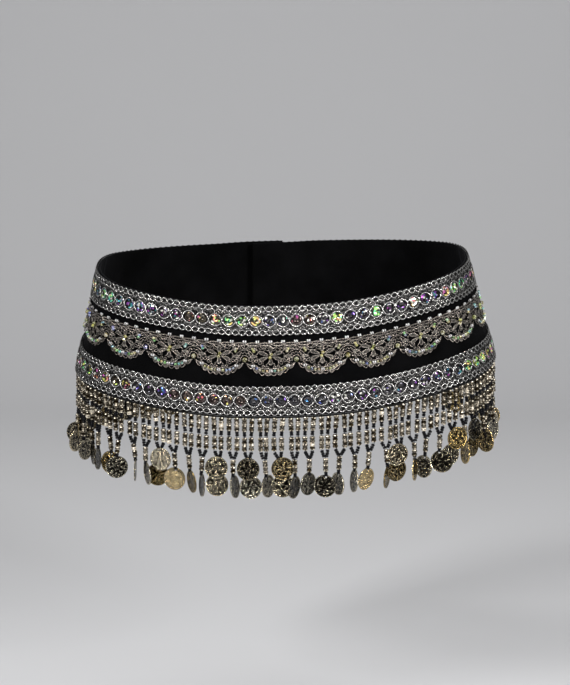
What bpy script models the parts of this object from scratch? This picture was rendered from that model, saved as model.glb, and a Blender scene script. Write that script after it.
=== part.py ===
"""A belly dance hip belt in the shape it has when worn.

A contoured velvet band of three panels goes round the hips and hooks at the centre back, where
the right end laps over the left. On it lie two braids with a scalloped lace between them, and
from its lower edge hangs a fringe whose beaded strands join in pairs, each pair with a coin.
Metres, +Z up, the wearer faces -Y, and the origin is in the middle of the hollow.
"""

import math
import random

import bpy
import numpy as np

MM = 0.001

# The band: half widths and depths of its section at the top and the lower edge
BAND_HEIGHT = 94.4 * MM
TOP_HALF_WIDTH = 163.0 * MM
LOW_HALF_WIDTH = 186.0 * MM
TOP_FRONT_DEPTH = 103.5 * MM
LOW_FRONT_DEPTH = 110.0 * MM
TOP_BACK_DEPTH = 122.5 * MM
LOW_BACK_DEPTH = 138.0 * MM
SECTION_POWER = 2.4
SIDE_RISE = 34.0 * MM
RISE_END = math.radians(112.0)
RISE_POWER = 1.5
HIP_TILT = math.radians(1.75)
PANEL_WALL = 2.2 * MM
SEAM_GAP = 0.3 * MM
SEAM_ANGLE = math.radians(100.0)
BAND_COLUMNS = 60

# The lapped closure at the centre back, in angles from the middle of the front
FLAP_EDGE = math.radians(-180.0)
FLAP_LIFTED = math.radians(-166.0)
FLAP_FLAT = math.radians(-150.0)
FLAP_LIFT = 3.2 * MM
UNDER_FLAT = math.radians(164.0)
UNDER_LINE = math.radians(180.0)
UNDER_END = math.radians(193.0)
UNDER_DIP = 2.9 * MM
UNDER_COLUMNS = 3

# Three hooks and their bars, between the flap and the underlap
HOOK_ANGLE = math.radians(-173.5)
HOOK_DOWNS = (18.0 * MM, 47.0 * MM, 76.0 * MM)
HOOK_WIDTH = 8.0 * MM
HOOK_PLATE_END = 7.0 * MM
HOOK_BEND = 6.0 * MM
HOOK_TONGUE_END = 2.0 * MM
HOOK_HEIGHT = 3.0 * MM
WIRE = 0.8 * MM
BAR_REACH = 6.5 * MM
BAR_FOOT = 9.0 * MM
BAR_LEG = 1.2 * MM

# The braid, one inch wide: a chain at each edge and a row of rings along the middle
TOP_BRAID_DOWN = 0.3 * MM
LOW_BRAID_DOWN = 68.2 * MM
# columns: down from the braid's top edge, height of the face over the velvet
BRAID_PROFILE = (
    (0.0 * MM, 1.3 * MM),
    (3.0 * MM, 2.2 * MM),
    (6.3 * MM, 1.4 * MM),
    (12.7 * MM, 2.3 * MM),
    (19.1 * MM, 1.4 * MM),
    (22.4 * MM, 2.2 * MM),
    (25.4 * MM, 1.3 * MM),
)

# The scalloped lace
LACE_TOP_DOWN = 30.6 * MM
LACE_VALLEY_DOWN = 51.5 * MM
LACE_SCALLOP_DROP = 8.2 * MM
SCALLOP_COUNT = 22
SCALLOP_PHASE = 9.7 * MM
SLIT_TOP_DOWN = 41.4 * MM
SLIT_LOW_DOWN = 43.2 * MM
# columns: share of the scallop's width, face height at the top, at the slit row, at the rim
LACE_PROFILE = (
    (0.00, 1.9 * MM, 1.6 * MM, 2.4 * MM),
    (0.07, 1.9 * MM, 1.5 * MM, 2.2 * MM),
    (0.16, 1.9 * MM, 1.5 * MM, 2.1 * MM),
    (0.26, 1.9 * MM, 1.9 * MM, 2.1 * MM),
    (0.41, 1.9 * MM, 2.7 * MM, 2.1 * MM),
    (0.59, 1.9 * MM, 2.7 * MM, 2.1 * MM),
    (0.74, 1.9 * MM, 1.9 * MM, 2.1 * MM),
    (0.84, 1.9 * MM, 1.5 * MM, 2.1 * MM),
    (0.93, 1.9 * MM, 1.5 * MM, 2.2 * MM),
)
# the slits that are cut through lie between these two pairs of the columns above
SLIT_COLUMNS = (3, 5)

# The fringe: a narrow strip under the band, strands in pairs, a drop and a coin for each pair
PAIR_COUNT = 78
STRIP_HEIGHT = 2.0 * MM
STRIP_FACE = 0.1 * MM
STRIP_DEPTH = 2.4 * MM
STRAND_WIDTH = 3.0 * MM
STRAND_LENGTH = 28.5 * MM
MERGE_HEIGHT = 6.0 * MM
DROP_LENGTH = 15.2 * MM
DROP_SIDE = 2.8 * MM
COIN_RADIUS = 9.8 * MM
COIN_THICKNESS = 1.0 * MM
COIN_SIDES = 9
COIN_TOP_SIDE = 3.0 * MM
NECK_LENGTH = 1.0 * MM
KNOT_SWAY = 0.4
SWAY_ALONG = 2.6 * MM
SWAY_OUT = 1.8 * MM
SWAY_SPREAD = 0.6 * MM
DROP_SPREAD = 1.6 * MM
COIN_TURN = math.radians(80.0)
COIN_TURN_UNDER = math.radians(25.0)
COIN_CLEARANCE = 1.7 * MM
DROP_CLEARANCE = 2.6 * MM
# pairs whose knot carries a second coin in front of its drop, on a short arm
HIGH_COINS = (2, 8, 14, 18, 22, 30, 34, 36, 38, 46, 50, 52, 58, 64, 70, 76)
HIGH_COIN_OUT = 3.0 * MM
HIGH_COIN_TURN = math.radians(12.0)
ARM_HEIGHT = 2.5 * MM
ARM_DIP = 0.5 * MM
FRINGE_SEED = 11
MOST_TRIES = 400

NORMAL_STEP_ANGLE = 1e-4
NORMAL_STEP_DOWN = 1e-4

# colour, roughness and metallic value of each finish
VELVET = ((0.012, 0.012, 0.014, 1.0), 0.95, 0.0)
BRAID_SILVER = ((0.62, 0.61, 0.60, 1.0), 0.35, 0.9)
LACE_SILVER = ((0.55, 0.52, 0.46, 1.0), 0.4, 0.85)
BEAD_SILVER = ((0.70, 0.66, 0.56, 1.0), 0.2, 0.95)
STEEL = ((0.55, 0.55, 0.56, 1.0), 0.3, 1.0)


def clear_scene():
    """Remove whatever the new file holds."""
    for old in list(bpy.data.objects):
        bpy.data.objects.remove(old, do_unlink=True)


def finish(name, look):
    """One Principled material from a colour, a roughness and a metallic value."""
    colour, roughness, metallic = look
    material = bpy.data.materials.new(name)
    material.use_nodes = True
    shader = material.node_tree.nodes["Principled BSDF"]
    shader.inputs["Base Color"].default_value = colour
    shader.inputs["Roughness"].default_value = roughness
    shader.inputs["Metallic"].default_value = metallic
    return material


def add_solid(name, points, faces, look):
    """A named object from points and faces, with its own material."""
    mesh = bpy.data.meshes.new(name)
    mesh.from_pydata([tuple(map(float, point)) for point in points], [], faces)
    mesh.validate()
    mesh.update()
    mesh.materials.append(finish(name, look))
    solid = bpy.data.objects.new(name, mesh)
    bpy.context.scene.collection.objects.link(solid)
    return solid


def smooth_step(share):
    """0 to 1 with level ends, for a share that is held between 0 and 1."""
    held = np.clip(share, 0.0, 1.0)
    return held * held * (3.0 - 2.0 * held)


def section(angle, half_width, front, back):
    """Plan point of a rounded hip section at an angle from the front, as x and y."""
    depth = np.where(np.cos(angle) > 0.0, front, back)
    across = np.abs(np.sin(angle) / half_width) ** SECTION_POWER
    along = np.abs(np.cos(angle) / depth) ** SECTION_POWER
    radius = (across + along) ** (-1.0 / SECTION_POWER)
    return radius * np.sin(angle), -radius * np.cos(angle)


def rise(angle):
    """How far the band's top edge climbs from the front centre to the sides."""
    around = np.abs(np.mod(angle + math.pi, 2.0 * math.pi) - math.pi)
    share = np.minimum(around, RISE_END) / RISE_END
    return SIDE_RISE * ((1.0 - np.cos(math.pi * share)) / 2.0) ** RISE_POWER


def bare_points(angle, down):
    """Points of the band's outer face: straight lines from the top section to the lower one."""
    top_x, top_y = section(angle, TOP_HALF_WIDTH, TOP_FRONT_DEPTH, TOP_BACK_DEPTH)
    low_x, low_y = section(angle, LOW_HALF_WIDTH, LOW_FRONT_DEPTH, LOW_BACK_DEPTH)
    flare = np.hypot(low_x - top_x, low_y - top_y)
    fall = np.sqrt(BAND_HEIGHT ** 2 - flare ** 2)
    share = down / BAND_HEIGHT
    x = top_x + (low_x - top_x) * share
    y = top_y + (low_y - top_y) * share
    z = BAND_HEIGHT / 2.0 + rise(angle) - fall * share
    tilted_x = x * math.cos(HIP_TILT) - z * math.sin(HIP_TILT)
    tilted_z = x * math.sin(HIP_TILT) + z * math.cos(HIP_TILT)
    return np.stack([tilted_x, y + 0.0 * tilted_x, tilted_z], axis=-1)


def outward(angle, down):
    """Unit normals of the band's outer face."""
    ahead = bare_points(angle + NORMAL_STEP_ANGLE, down)
    behind = bare_points(angle - NORMAL_STEP_ANGLE, down)
    below = bare_points(angle, down + NORMAL_STEP_DOWN)
    above = bare_points(angle, down - NORMAL_STEP_DOWN)
    normal = np.cross(below - above, ahead - behind)
    return normal / np.linalg.norm(normal, axis=-1, keepdims=True)


def lap_lift(angle):
    """How far the flap stands out, or the underlap dips in, where the ends lap."""
    lifted = smooth_step((FLAP_FLAT - angle) / (FLAP_FLAT - FLAP_LIFTED))
    dipped = smooth_step((angle - UNDER_FLAT) / (UNDER_LINE - UNDER_FLAT))
    return FLAP_LIFT * lifted - UNDER_DIP * dipped


def band_points(angle, down, out):
    """Points at an angle, a way down the band and a height over its outer face."""
    angle, down, out = np.broadcast_arrays(angle, down, out)
    height = (lap_lift(angle) + out)[..., None]
    return bare_points(angle, down) + outward(angle, down) * height


def even_angles(first, last, down, steps):
    """Angles that part a stretch of the band into steps of even length along its face."""
    fine = np.linspace(first, last, 4001)
    line = bare_points(fine, down)
    lengths = np.concatenate([[0.0], np.cumsum(np.linalg.norm(np.diff(line, axis=0), axis=1))])
    return np.interp(np.asarray(steps) * lengths[-1], lengths, fine), lengths[-1]


def strip_solid(name, outer, inner, look):
    """A wall from an outer grid of points (rows by columns) and a plain inner one."""
    rows, columns = outer.shape[:2]
    inner_rows = inner.shape[0]
    points = np.concatenate([outer.reshape(-1, 3), inner.reshape(-1, 3)])

    def out_at(row, column):
        return row * columns + column

    def in_at(row, column):
        return rows * columns + row * columns + column

    faces = []
    for column in range(columns - 1):
        ahead = column + 1
        for row in range(rows - 1):
            corner = (out_at(row, column), out_at(row + 1, column))
            faces.append((*corner, out_at(row + 1, ahead), out_at(row, ahead)))
        for row in range(inner_rows - 1):
            corner = (in_at(row, column), in_at(row, ahead))
            faces.append((*corner, in_at(row + 1, ahead), in_at(row + 1, column)))
        faces.append((out_at(0, column), out_at(0, ahead), in_at(0, ahead), in_at(0, column)))
        low = (out_at(rows - 1, ahead), out_at(rows - 1, column))
        faces.append((*low, in_at(inner_rows - 1, column), in_at(inner_rows - 1, ahead)))
    last = columns - 1
    start_edge = [out_at(row, 0) for row in reversed(range(rows))]
    start_edge += [in_at(row, 0) for row in range(inner_rows)]
    end_edge = [out_at(row, last) for row in range(rows)]
    end_edge += [in_at(row, last) for row in reversed(range(inner_rows))]
    faces.append(tuple(start_edge))
    faces.append(tuple(end_edge))
    return add_solid(name, points, faces, look)


def panel(name, angles):
    """One velvet panel, a wall of even thickness from the band's top edge to its lower edge."""
    downs = np.array([0.0, BAND_HEIGHT])[:, None]
    outer = band_points(angles[None, :], downs, 0.0)
    inner = band_points(angles[None, :], downs, -PANEL_WALL)
    return strip_solid(name, outer, inner, VELVET)


def make_panels():
    """The front and the two back panels, parted at the side seams."""
    around, length = even_angles(
        FLAP_EDGE, UNDER_LINE, BAND_HEIGHT / 2.0, np.linspace(0.0, 1.0, BAND_COLUMNS + 1)
    )
    half_gap = SEAM_GAP / 2.0 / length * 2.0 * math.pi
    right_seam = around[np.argmin(np.abs(around + SEAM_ANGLE))]
    left_seam = around[np.argmin(np.abs(around - SEAM_ANGLE))]
    right = around[around < right_seam - half_gap]
    front = around[(around > right_seam + half_gap) & (around < left_seam - half_gap)]
    left = around[around > left_seam + half_gap]
    underlap = np.linspace(UNDER_LINE, UNDER_END, UNDER_COLUMNS + 1)[1:]
    panel("back_panel_right", np.append(right, right_seam - half_gap))
    panel("front_panel", np.concatenate([[right_seam + half_gap], front, [left_seam - half_gap]]))
    panel("back_panel_left", np.concatenate([[left_seam + half_gap], left, underlap]))
    return around


def braid(name, top_down, around):
    """A braid round the band, its chains and its row of rings raised over a plain back."""
    downs = np.array([top_down + row[0] for row in BRAID_PROFILE])[:, None]
    heights = np.array([row[1] for row in BRAID_PROFILE])[:, None]
    outer = band_points(around[None, :], downs, heights + SEAM_GAP)
    inner = band_points(around[None, :], downs[[0, -1]], SEAM_GAP)
    return strip_solid(name, outer, inner, BRAID_SILVER)


def scallop_columns(length):
    """Places along the lace, its share of a scallop at each, and which profile row each is."""
    pitch = length / SCALLOP_COUNT
    start = (length / 2.0 + SCALLOP_PHASE) % pitch - pitch
    columns = []
    for scallop in range(SCALLOP_COUNT + 1):
        for index, row in enumerate(LACE_PROFILE):
            place = start + (scallop + row[0]) * pitch
            if MM < place < length - MM:
                columns.append((place, row[0], index))
    first_share = (0.0 - start) / pitch % 1.0
    columns.insert(0, (0.0, first_share, (columns[0][2] - 1) % len(LACE_PROFILE)))
    columns.append((length, first_share, columns[-1][2]))
    return columns


def lace():
    """The scalloped lace: a face raised at its flowers and rims, with slits cut through."""
    first, last = FLAP_EDGE, UNDER_LINE
    middle = (LACE_TOP_DOWN + LACE_VALLEY_DOWN) / 2.0
    length = even_angles(first, last, middle, [0.0, 1.0])[1]
    columns = scallop_columns(length)
    angles = even_angles(first, last, middle, [column[0] / length for column in columns])[0]
    shares = np.array([column[1] for column in columns])
    kinds = [column[2] for column in columns]
    rim = LACE_VALLEY_DOWN + LACE_SCALLOP_DROP * smooth_step(np.sin(math.pi * shares))
    level = np.ones(len(columns))
    downs = np.stack([LACE_TOP_DOWN * level, SLIT_TOP_DOWN * level, SLIT_LOW_DOWN * level, rim])
    heights = np.array([[LACE_PROFILE[kind][value] for kind in kinds] for value in (1, 2, 2, 3)])
    outer = band_points(angles[None, :], downs, heights + SEAM_GAP)
    inner = band_points(angles[None, :], downs, SEAM_GAP)
    rows = downs.shape[0]
    count = len(columns)
    slit_row = 1
    whole = [[True] * (count - 1) for row in range(rows - 1)]
    for column in range(1, count - 2):
        if kinds[column] in SLIT_COLUMNS:
            whole[slit_row][column] = False
    points = np.concatenate([outer.reshape(-1, 3), inner.reshape(-1, 3)])
    faces = wall_faces(whole)
    return add_solid("scallop_lace", points, faces, LACE_SILVER)


def wall_faces(whole):
    """Faces of a wall on two like grids of points, open where a cell isn't whole."""
    rows = len(whole)
    cells = len(whole[0])
    columns = cells + 1
    back = (rows + 1) * columns

    def is_whole(row, cell):
        return 0 <= row < rows and 0 <= cell < cells and whole[row][cell]

    faces = []
    for row in range(rows):
        for cell in range(cells):
            if not whole[row][cell]:
                continue
            corner = row * columns + cell
            ring = (corner, corner + columns, corner + columns + 1, corner + 1)
            faces.append(ring)
            faces.append(tuple(back + point for point in reversed(ring)))
            neighbours = ((row, cell - 1), (row + 1, cell), (row, cell + 1), (row - 1, cell))
            for side, neighbour in enumerate(neighbours):
                if is_whole(*neighbour):
                    continue
                start = ring[side]
                end = ring[(side + 1) % 4]
                faces.append((end, start, back + start, back + end))
    return faces


def plan_gap(first, second):
    """Shortest distance in plan between two straight segments, given as pairs of points."""
    def from_point(point, segment):
        start, end = segment
        along = end - start
        share = np.clip(np.dot(point - start, along) / np.dot(along, along), 0.0, 1.0)
        return np.linalg.norm(point - start - along * share)

    def side(start, end, point):
        run = end - start
        way = point - start
        return run[0] * way[1] - run[1] * way[0]

    apart = side(*first, second[0]) * side(*first, second[1]) > 0.0
    apart = apart or side(*second, first[0]) * side(*second, first[1]) > 0.0
    if not apart:
        return 0.0
    ends = [from_point(point, second) for point in first]
    ends += [from_point(point, first) for point in second]
    return min(ends)


def coin_plan(middle, edge):
    """A coin in plan: its two ends."""
    reach = edge[:2] * COIN_RADIUS
    return middle[:2] - reach, middle[:2] + reach


def pairs_meet(first, second):
    """Whether two neighbouring pairs come too close, each given in plan as low, drop and high."""
    if plan_gap(first[0], second[0]) < COIN_CLEARANCE:
        return True
    for (low, drop, _), (_, _, high) in ((first, second), (second, first)):
        if high and (plan_gap(high, low) < COIN_CLEARANCE or plan_gap(high, drop) < DROP_CLEARANCE):
            return True
    return False


def coin_places(centres, along, out):
    """Each pair's low coin, extra drop and high coin, drawn so that neighbours don't meet.

    A coin is its middle and the way its face runs. A pair without a high coin has None for it.
    """
    dice = random.Random(FRINGE_SEED)
    places = []
    before = None
    for pair in range(PAIR_COUNT):
        side = 1.0 if pair % 2 else -1.0
        most_turn = COIN_TURN_UNDER if pair in HIGH_COINS else COIN_TURN
        for attempt in range(MOST_TRIES):
            sway = dice.uniform(-SWAY_ALONG, SWAY_ALONG)
            lean = side * SWAY_OUT + dice.uniform(-SWAY_SPREAD, SWAY_SPREAD)
            drop = dice.uniform(-DROP_SPREAD, DROP_SPREAD)
            turn = dice.uniform(-most_turn, most_turn)
            high_turn = dice.uniform(-HIGH_COIN_TURN, HIGH_COIN_TURN)
            offset = along[pair] * sway + out[pair] * lean
            middle = centres[pair] + offset
            knot = centres[pair] + offset * KNOT_SWAY
            low = (middle, along[pair] * math.cos(turn) + out[pair] * math.sin(turn))
            high = None
            plans = (coin_plan(*low), (knot[:2], middle[:2]), None)
            if pair in HIGH_COINS:
                high_edge = along[pair] * math.cos(high_turn) + out[pair] * math.sin(high_turn)
                high = (knot + out[pair] * HIGH_COIN_OUT, high_edge)
                plans = (plans[0], plans[1], coin_plan(*high))
                if plan_gap(plans[2], plans[0]) < COIN_CLEARANCE:
                    continue
            if before is None or not pairs_meet(before, plans):
                break
        places.append((low, drop, high))
        before = plans
    return places


def box_ring(middle, along, out, width, depth):
    """Four corners round a strand: outer left, outer right, inner right, inner left."""
    side = along * (width / 2.0)
    way = out * (depth / 2.0)
    return [middle - side + way, middle + side + way, middle + side - way, middle - side - way]


def coin_outline():
    """Corners of a coin from the centre, as (along, up), the short top side's pair first."""
    top = math.asin(COIN_TOP_SIDE / 2.0 / COIN_RADIUS)
    turns = [top + (2.0 * math.pi - 2.0 * top) * step / COIN_SIDES for step in range(COIN_SIDES + 1)]
    return [(COIN_RADIUS * math.sin(turn), COIN_RADIUS * math.cos(turn)) for turn in turns]


def fringe():
    """The beaded fringe as one solid: strip, paired strands, drops and coins."""
    down = BAND_HEIGHT
    spacing = 1.0 / (2 * PAIR_COUNT)
    length = even_angles(FLAP_EDGE, UNDER_LINE, down, [0.0, 1.0])[1]
    half = STRAND_WIDTH / 2.0 / length
    starts = [(strand + 0.5) * spacing - half for strand in range(2 * PAIR_COUNT)]
    ends = [start + 2.0 * half for start in starts]
    edges = np.array([place for both in zip(starts, ends) for place in both])
    angles = even_angles(FLAP_EDGE, UNDER_LINE, down, edges)[0]
    face = band_points(angles, down, STRIP_FACE)
    back = band_points(angles, down, STRIP_FACE - STRIP_DEPTH)
    # columns of the strip: its front and back points at the top and at the bottom
    up = np.array([0.0, 0.0, 1.0])
    top_front = face - up * SEAM_GAP
    top_back = back - up * SEAM_GAP
    low_front = top_front - up * STRIP_HEIGHT
    low_back = top_back - up * STRIP_HEIGHT
    points = []
    faces = []

    def keep(point):
        points.append(point)
        return len(points) - 1

    tf = [keep(top_front[index]) for index in range(0, len(edges), 4)] + [keep(top_front[-1])]
    tb = [keep(top_back[index]) for index in range(0, len(edges), 4)] + [keep(top_back[-1])]
    lf = [keep(point) for point in low_front]
    lb = [keep(point) for point in low_back]
    last_edge = len(edges) - 1
    for pair in range(PAIR_COUNT):
        left = 4 * pair
        right = min(left + 4, last_edge)
        low = list(range(left, right + 1))
        faces.append((tf[pair], *[lf[index] for index in low], tf[pair + 1]))
        faces.append((tb[pair + 1], *[lb[index] for index in reversed(low)], tb[pair]))
        faces.append((tf[pair], tf[pair + 1], tb[pair + 1], tb[pair]))
        for gap in (left + 1, left + 3):
            if gap + 1 <= last_edge:
                faces.append((lf[gap], lb[gap], lb[gap + 1], lf[gap + 1]))
    faces.append((tf[0], tb[0], lb[0], lf[0]))
    faces.append((tf[-1], lf[-1], lb[-1], tb[-1]))

    middles = (low_front + low_back) / 2.0
    roots = np.array([(middles[2 * strand] + middles[2 * strand + 1]) / 2.0
                      for strand in range(2 * PAIR_COUNT)])
    across = np.array([low_front[4 * pair + 3] - low_front[4 * pair] for pair in range(PAIR_COUNT)])
    across[:, 2] = 0.0
    along = across / np.linalg.norm(across, axis=1, keepdims=True)
    out = np.cross(along, up)
    centres = (roots[0::2] + roots[1::2]) / 2.0
    places = coin_places(centres, along, out)

    def bridge(upper, lower):
        for side in range(len(upper)):
            ahead = (side + 1) % len(upper)
            faces.append((upper[side], lower[side], lower[ahead], upper[ahead]))

    def coin(centre, edge):
        """A coin. Returns the four corners of its short top side, where its neck ends."""
        half_coin = np.cross(edge, up) * (COIN_THICKNESS / 2.0)
        front_rim = [keep(centre + edge * x + up * z + half_coin) for x, z in outline]
        back_rim = [keep(centre + edge * x + up * z - half_coin) for x, z in outline]
        # the outline runs clockwise as seen from the front, from the right end of the top side
        faces.append(tuple(reversed(front_rim)))
        faces.append(tuple(back_rim))
        for step in range(COIN_SIDES):
            faces.append((front_rim[step], front_rim[step + 1], back_rim[step + 1], back_rim[step]))
        return [front_rim[-1], front_rim[0], back_rim[0], back_rim[-1]]

    outline = coin_outline()
    top_up = outline[0][1]
    arm_share = ARM_HEIGHT / DROP_LENGTH
    for pair in range(PAIR_COUNT):
        (middle, edge), drop, high = places[pair]
        sway = middle - centres[pair]
        side = along[pair]
        way = out[pair]
        rings = []
        for strand in range(2):
            column = 4 * pair + 2 * strand
            root = [lf[column], lf[column + 1], lb[column + 1], lb[column]]
            place = roots[2 * pair + strand] - up * STRAND_LENGTH
            ring = [keep(point) for point in box_ring(place, side, way, STRAND_WIDTH, STRIP_DEPTH)]
            bridge(root, ring)
            rings.append(ring)
        knot = centres[pair] + sway * KNOT_SWAY - up * (STRAND_LENGTH + MERGE_HEIGHT)
        knot_ring = box_ring(knot, side, way, 2.0 * DROP_SIDE, DROP_SIDE)
        left = [keep(point) for point in knot_ring]
        middle_front = keep(knot + way * (DROP_SIDE / 2.0))
        middle_back = keep(knot - way * (DROP_SIDE / 2.0))
        bridge(rings[0], [left[0], middle_front, middle_back, left[3]])
        bridge(rings[1], [middle_front, left[1], left[2], middle_back])
        foot = centres[pair] + sway - up * (STRAND_LENGTH + MERGE_HEIGHT + DROP_LENGTH + drop)
        foot_ring = box_ring(foot, side, way, DROP_SIDE, DROP_SIDE)
        low = [keep(point) for point in foot_ring]
        faces.append((left[2], low[2], low[3], left[3], middle_back))
        if high is None:
            faces.append((left[0], low[0], low[1], left[1], middle_front))
            faces.append((left[1], low[1], low[2], left[2]))
            faces.append((left[3], low[3], low[0], left[0]))
        else:
            arm = [keep(knot_ring[end] + (foot_ring[end] - knot_ring[end]) * arm_share) for end in (0, 1)]
            faces.append((arm[0], low[0], low[1], arm[1]))
            faces.append((left[1], arm[1], low[1], low[2], left[2]))
            faces.append((left[3], low[3], low[0], arm[0], left[0]))
            top = high[0] - up * (STRAND_LENGTH + MERGE_HEIGHT + ARM_DIP)
            neck = coin(top - up * top_up, high[1])
            faces.append((left[0], neck[0], neck[1], left[1], middle_front))
            faces.append((left[1], neck[1], neck[2], arm[1]))
            faces.append((arm[1], neck[2], neck[3], arm[0]))
            faces.append((arm[0], neck[3], neck[0], left[0]))
        bridge(low, coin(foot - up * (NECK_LENGTH + top_up), edge))
    return add_solid("coin_fringe", points, faces, BEAD_SILVER)


def lap_frame(down):
    """A place on the inner face of the flap: its point and its ways ahead, down and out."""
    angle = np.array(HOOK_ANGLE)
    down = np.array(down)
    place = band_points(angle, down, -PANEL_WALL - SEAM_GAP)
    ahead = bare_points(angle + NORMAL_STEP_ANGLE, down) - bare_points(angle, down)
    ahead = ahead / np.linalg.norm(ahead)
    out = outward(angle, down)
    below = np.cross(ahead, out)
    below = below / np.linalg.norm(below)
    if below[2] > 0.0:
        below = -below
    return place, ahead, below, out


def extruded(name, outline, place, across, height, along, width):
    """An outline in the plane of two ways, carried the same distance each side of it."""
    count = len(outline)
    points = []
    for end in (-width / 2.0, width / 2.0):
        points += [place + across * x + height * y + along * end for x, y in outline]
    faces = [tuple(range(count)), tuple(range(2 * count - 1, count - 1, -1))]
    for corner in range(count):
        ahead = (corner + 1) % count
        faces.append((corner, count + corner, count + ahead, ahead))
    normal = np.cross(across, height)
    area = sum(outline[i][0] * outline[(i + 1) % count][1] - outline[(i + 1) % count][0] * outline[i][1]
               for i in range(count))
    if area * np.dot(normal, along) > 0.0:
        faces = [tuple(reversed(face)) for face in faces]
    return add_solid(name, points, faces, STEEL)


def make_closure():
    """Three flat hooks under the flap, each caught on a bar that stands on the underlap."""
    slot_low = WIRE - HOOK_HEIGHT
    hook = (
        (HOOK_PLATE_END, 0.0),
        (-HOOK_BEND, 0.0),
        (-HOOK_BEND, -HOOK_HEIGHT),
        (HOOK_TONGUE_END, -HOOK_HEIGHT),
        (HOOK_TONGUE_END, slot_low),
        (WIRE - HOOK_BEND, slot_low),
        (WIRE - HOOK_BEND, -WIRE),
        (HOOK_PLATE_END, -WIRE),
    )
    # heights below the hook plate's face: the bar's top, its under side, and its feet
    bar_top = -WIRE - SEAM_GAP
    bar_low = bar_top - WIRE
    foot_low = -(UNDER_DIP + FLAP_LIFT - PANEL_WALL - 2.0 * SEAM_GAP)
    foot_top = foot_low + WIRE
    inner = BAR_REACH - BAR_LEG
    bar = (
        (-BAR_FOOT, foot_low),
        (-BAR_FOOT, foot_top),
        (-BAR_REACH, foot_top),
        (-BAR_REACH, bar_top),
        (BAR_REACH, bar_top),
        (BAR_REACH, foot_top),
        (BAR_FOOT, foot_top),
        (BAR_FOOT, foot_low),
        (inner, foot_low),
        (inner, bar_low),
        (-inner, bar_low),
        (-inner, foot_low),
    )
    for number, down in enumerate(HOOK_DOWNS, start=1):
        place, ahead, below, out = lap_frame(down)
        extruded(f"hook_{number}", hook, place, ahead, out, below, HOOK_WIDTH)
        at_bar = place + ahead * (WIRE - HOOK_BEND + SEAM_GAP + BAR_LEG / 2.0)
        extruded(f"hook_bar_{number}", bar, at_bar, below, out, ahead, BAR_LEG)


def main():
    clear_scene()
    around = make_panels()
    braid("top_braid", TOP_BRAID_DOWN, around)
    lace()
    braid("lower_braid", LOW_BRAID_DOWN, around)
    fringe()
    make_closure()


main()
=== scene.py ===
"""The looks of a belly dance hip belt: black velvet, two sequin braids, beaded lace and a coin fringe.

Laid out as a Blender add-on and run as a script. Every piece is a surface worked out with numpy on the
band's own form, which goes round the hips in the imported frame's place. Metres, +Z up, front at -Y.
"""

import math
import random

import bpy
import numpy as np
from bpy.props import FloatProperty, FloatVectorProperty, IntProperty, PointerProperty
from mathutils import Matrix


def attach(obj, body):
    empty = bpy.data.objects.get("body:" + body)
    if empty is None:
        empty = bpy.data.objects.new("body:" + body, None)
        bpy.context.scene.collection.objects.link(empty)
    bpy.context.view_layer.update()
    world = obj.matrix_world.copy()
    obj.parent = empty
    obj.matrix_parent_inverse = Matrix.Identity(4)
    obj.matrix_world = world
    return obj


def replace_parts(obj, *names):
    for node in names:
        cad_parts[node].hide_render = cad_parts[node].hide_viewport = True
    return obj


bl_info = {
    "name": "Coin Hip Belt",
    "version": (1, 0, 0),
    "blender": (4, 5, 0),
    "location": "3D View > Sidebar > Hip Belt",
    "description": "Builds a beaded hip belt with coins on its packed frame",
    "category": "Add Mesh",
}

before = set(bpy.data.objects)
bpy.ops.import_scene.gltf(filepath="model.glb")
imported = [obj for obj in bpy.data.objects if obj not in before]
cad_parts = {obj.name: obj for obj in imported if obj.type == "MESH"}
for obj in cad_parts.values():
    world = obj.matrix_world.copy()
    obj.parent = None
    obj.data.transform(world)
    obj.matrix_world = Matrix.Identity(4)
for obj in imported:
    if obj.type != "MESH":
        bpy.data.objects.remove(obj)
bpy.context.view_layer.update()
BODY = "root"
MM = 0.001
TURN = 2.0 * math.pi


def length(name, description, default):
    """A size in metres."""
    return FloatProperty(name=name, description=description, default=default, unit="LENGTH", precision=5)


def angle(name, description, degrees):
    """An angle, given in degrees."""
    return FloatProperty(
        name=name, description=description, default=math.radians(degrees), subtype="ANGLE"
    )


def number(name, description, default):
    """A plain ratio or strength."""
    return FloatProperty(name=name, description=description, default=default)


def count(name, description, default):
    """A whole number of like things."""
    return IntProperty(name=name, description=description, default=default, min=1)


def colour(name, description, default):
    """A linear colour."""
    return FloatVectorProperty(
        name=name, description=description, default=default, size=3, subtype="COLOR", min=0.0, max=1.0
    )


class BandSizes(bpy.types.PropertyGroup):
    height: length("Height", "From its top edge to its lower edge", 0.0944)
    top_half_width: length("Top half width", "Half width at the top edge", 0.163)
    low_half_width: length("Lower half width", "Half width at the lower edge", 0.186)
    top_front: length("Top front depth", "From the axis to the front at the top edge", 0.1035)
    low_front: length("Lower front depth", "From the axis to the front at the lower edge", 0.110)
    top_back: length("Top back depth", "From the axis to the back at the top edge", 0.1225)
    low_back: length("Lower back depth", "From the axis to the back at the lower edge", 0.138)
    section_power: number("Section power", "2 is an ellipse, more is squarer", 2.4)
    side_rise: length("Side rise", "Climb of the top edge to the sides", 0.034)
    rise_end: angle("Rise end", "Past it the top edge is level", 112.0)
    rise_power: number("Rise power", "Shape of the climb", 1.5)
    tilt: angle("Tilt", "The hips' tilt, wearer's left side up", 1.75)
    wall: length("Wall", "Velvet and interlining", 0.0022)
    gap: length("Gap", "Air between a piece and the next", 0.0003)
    seam: angle("Seam", "Angle from the front to each side seam", 100.0)


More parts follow.
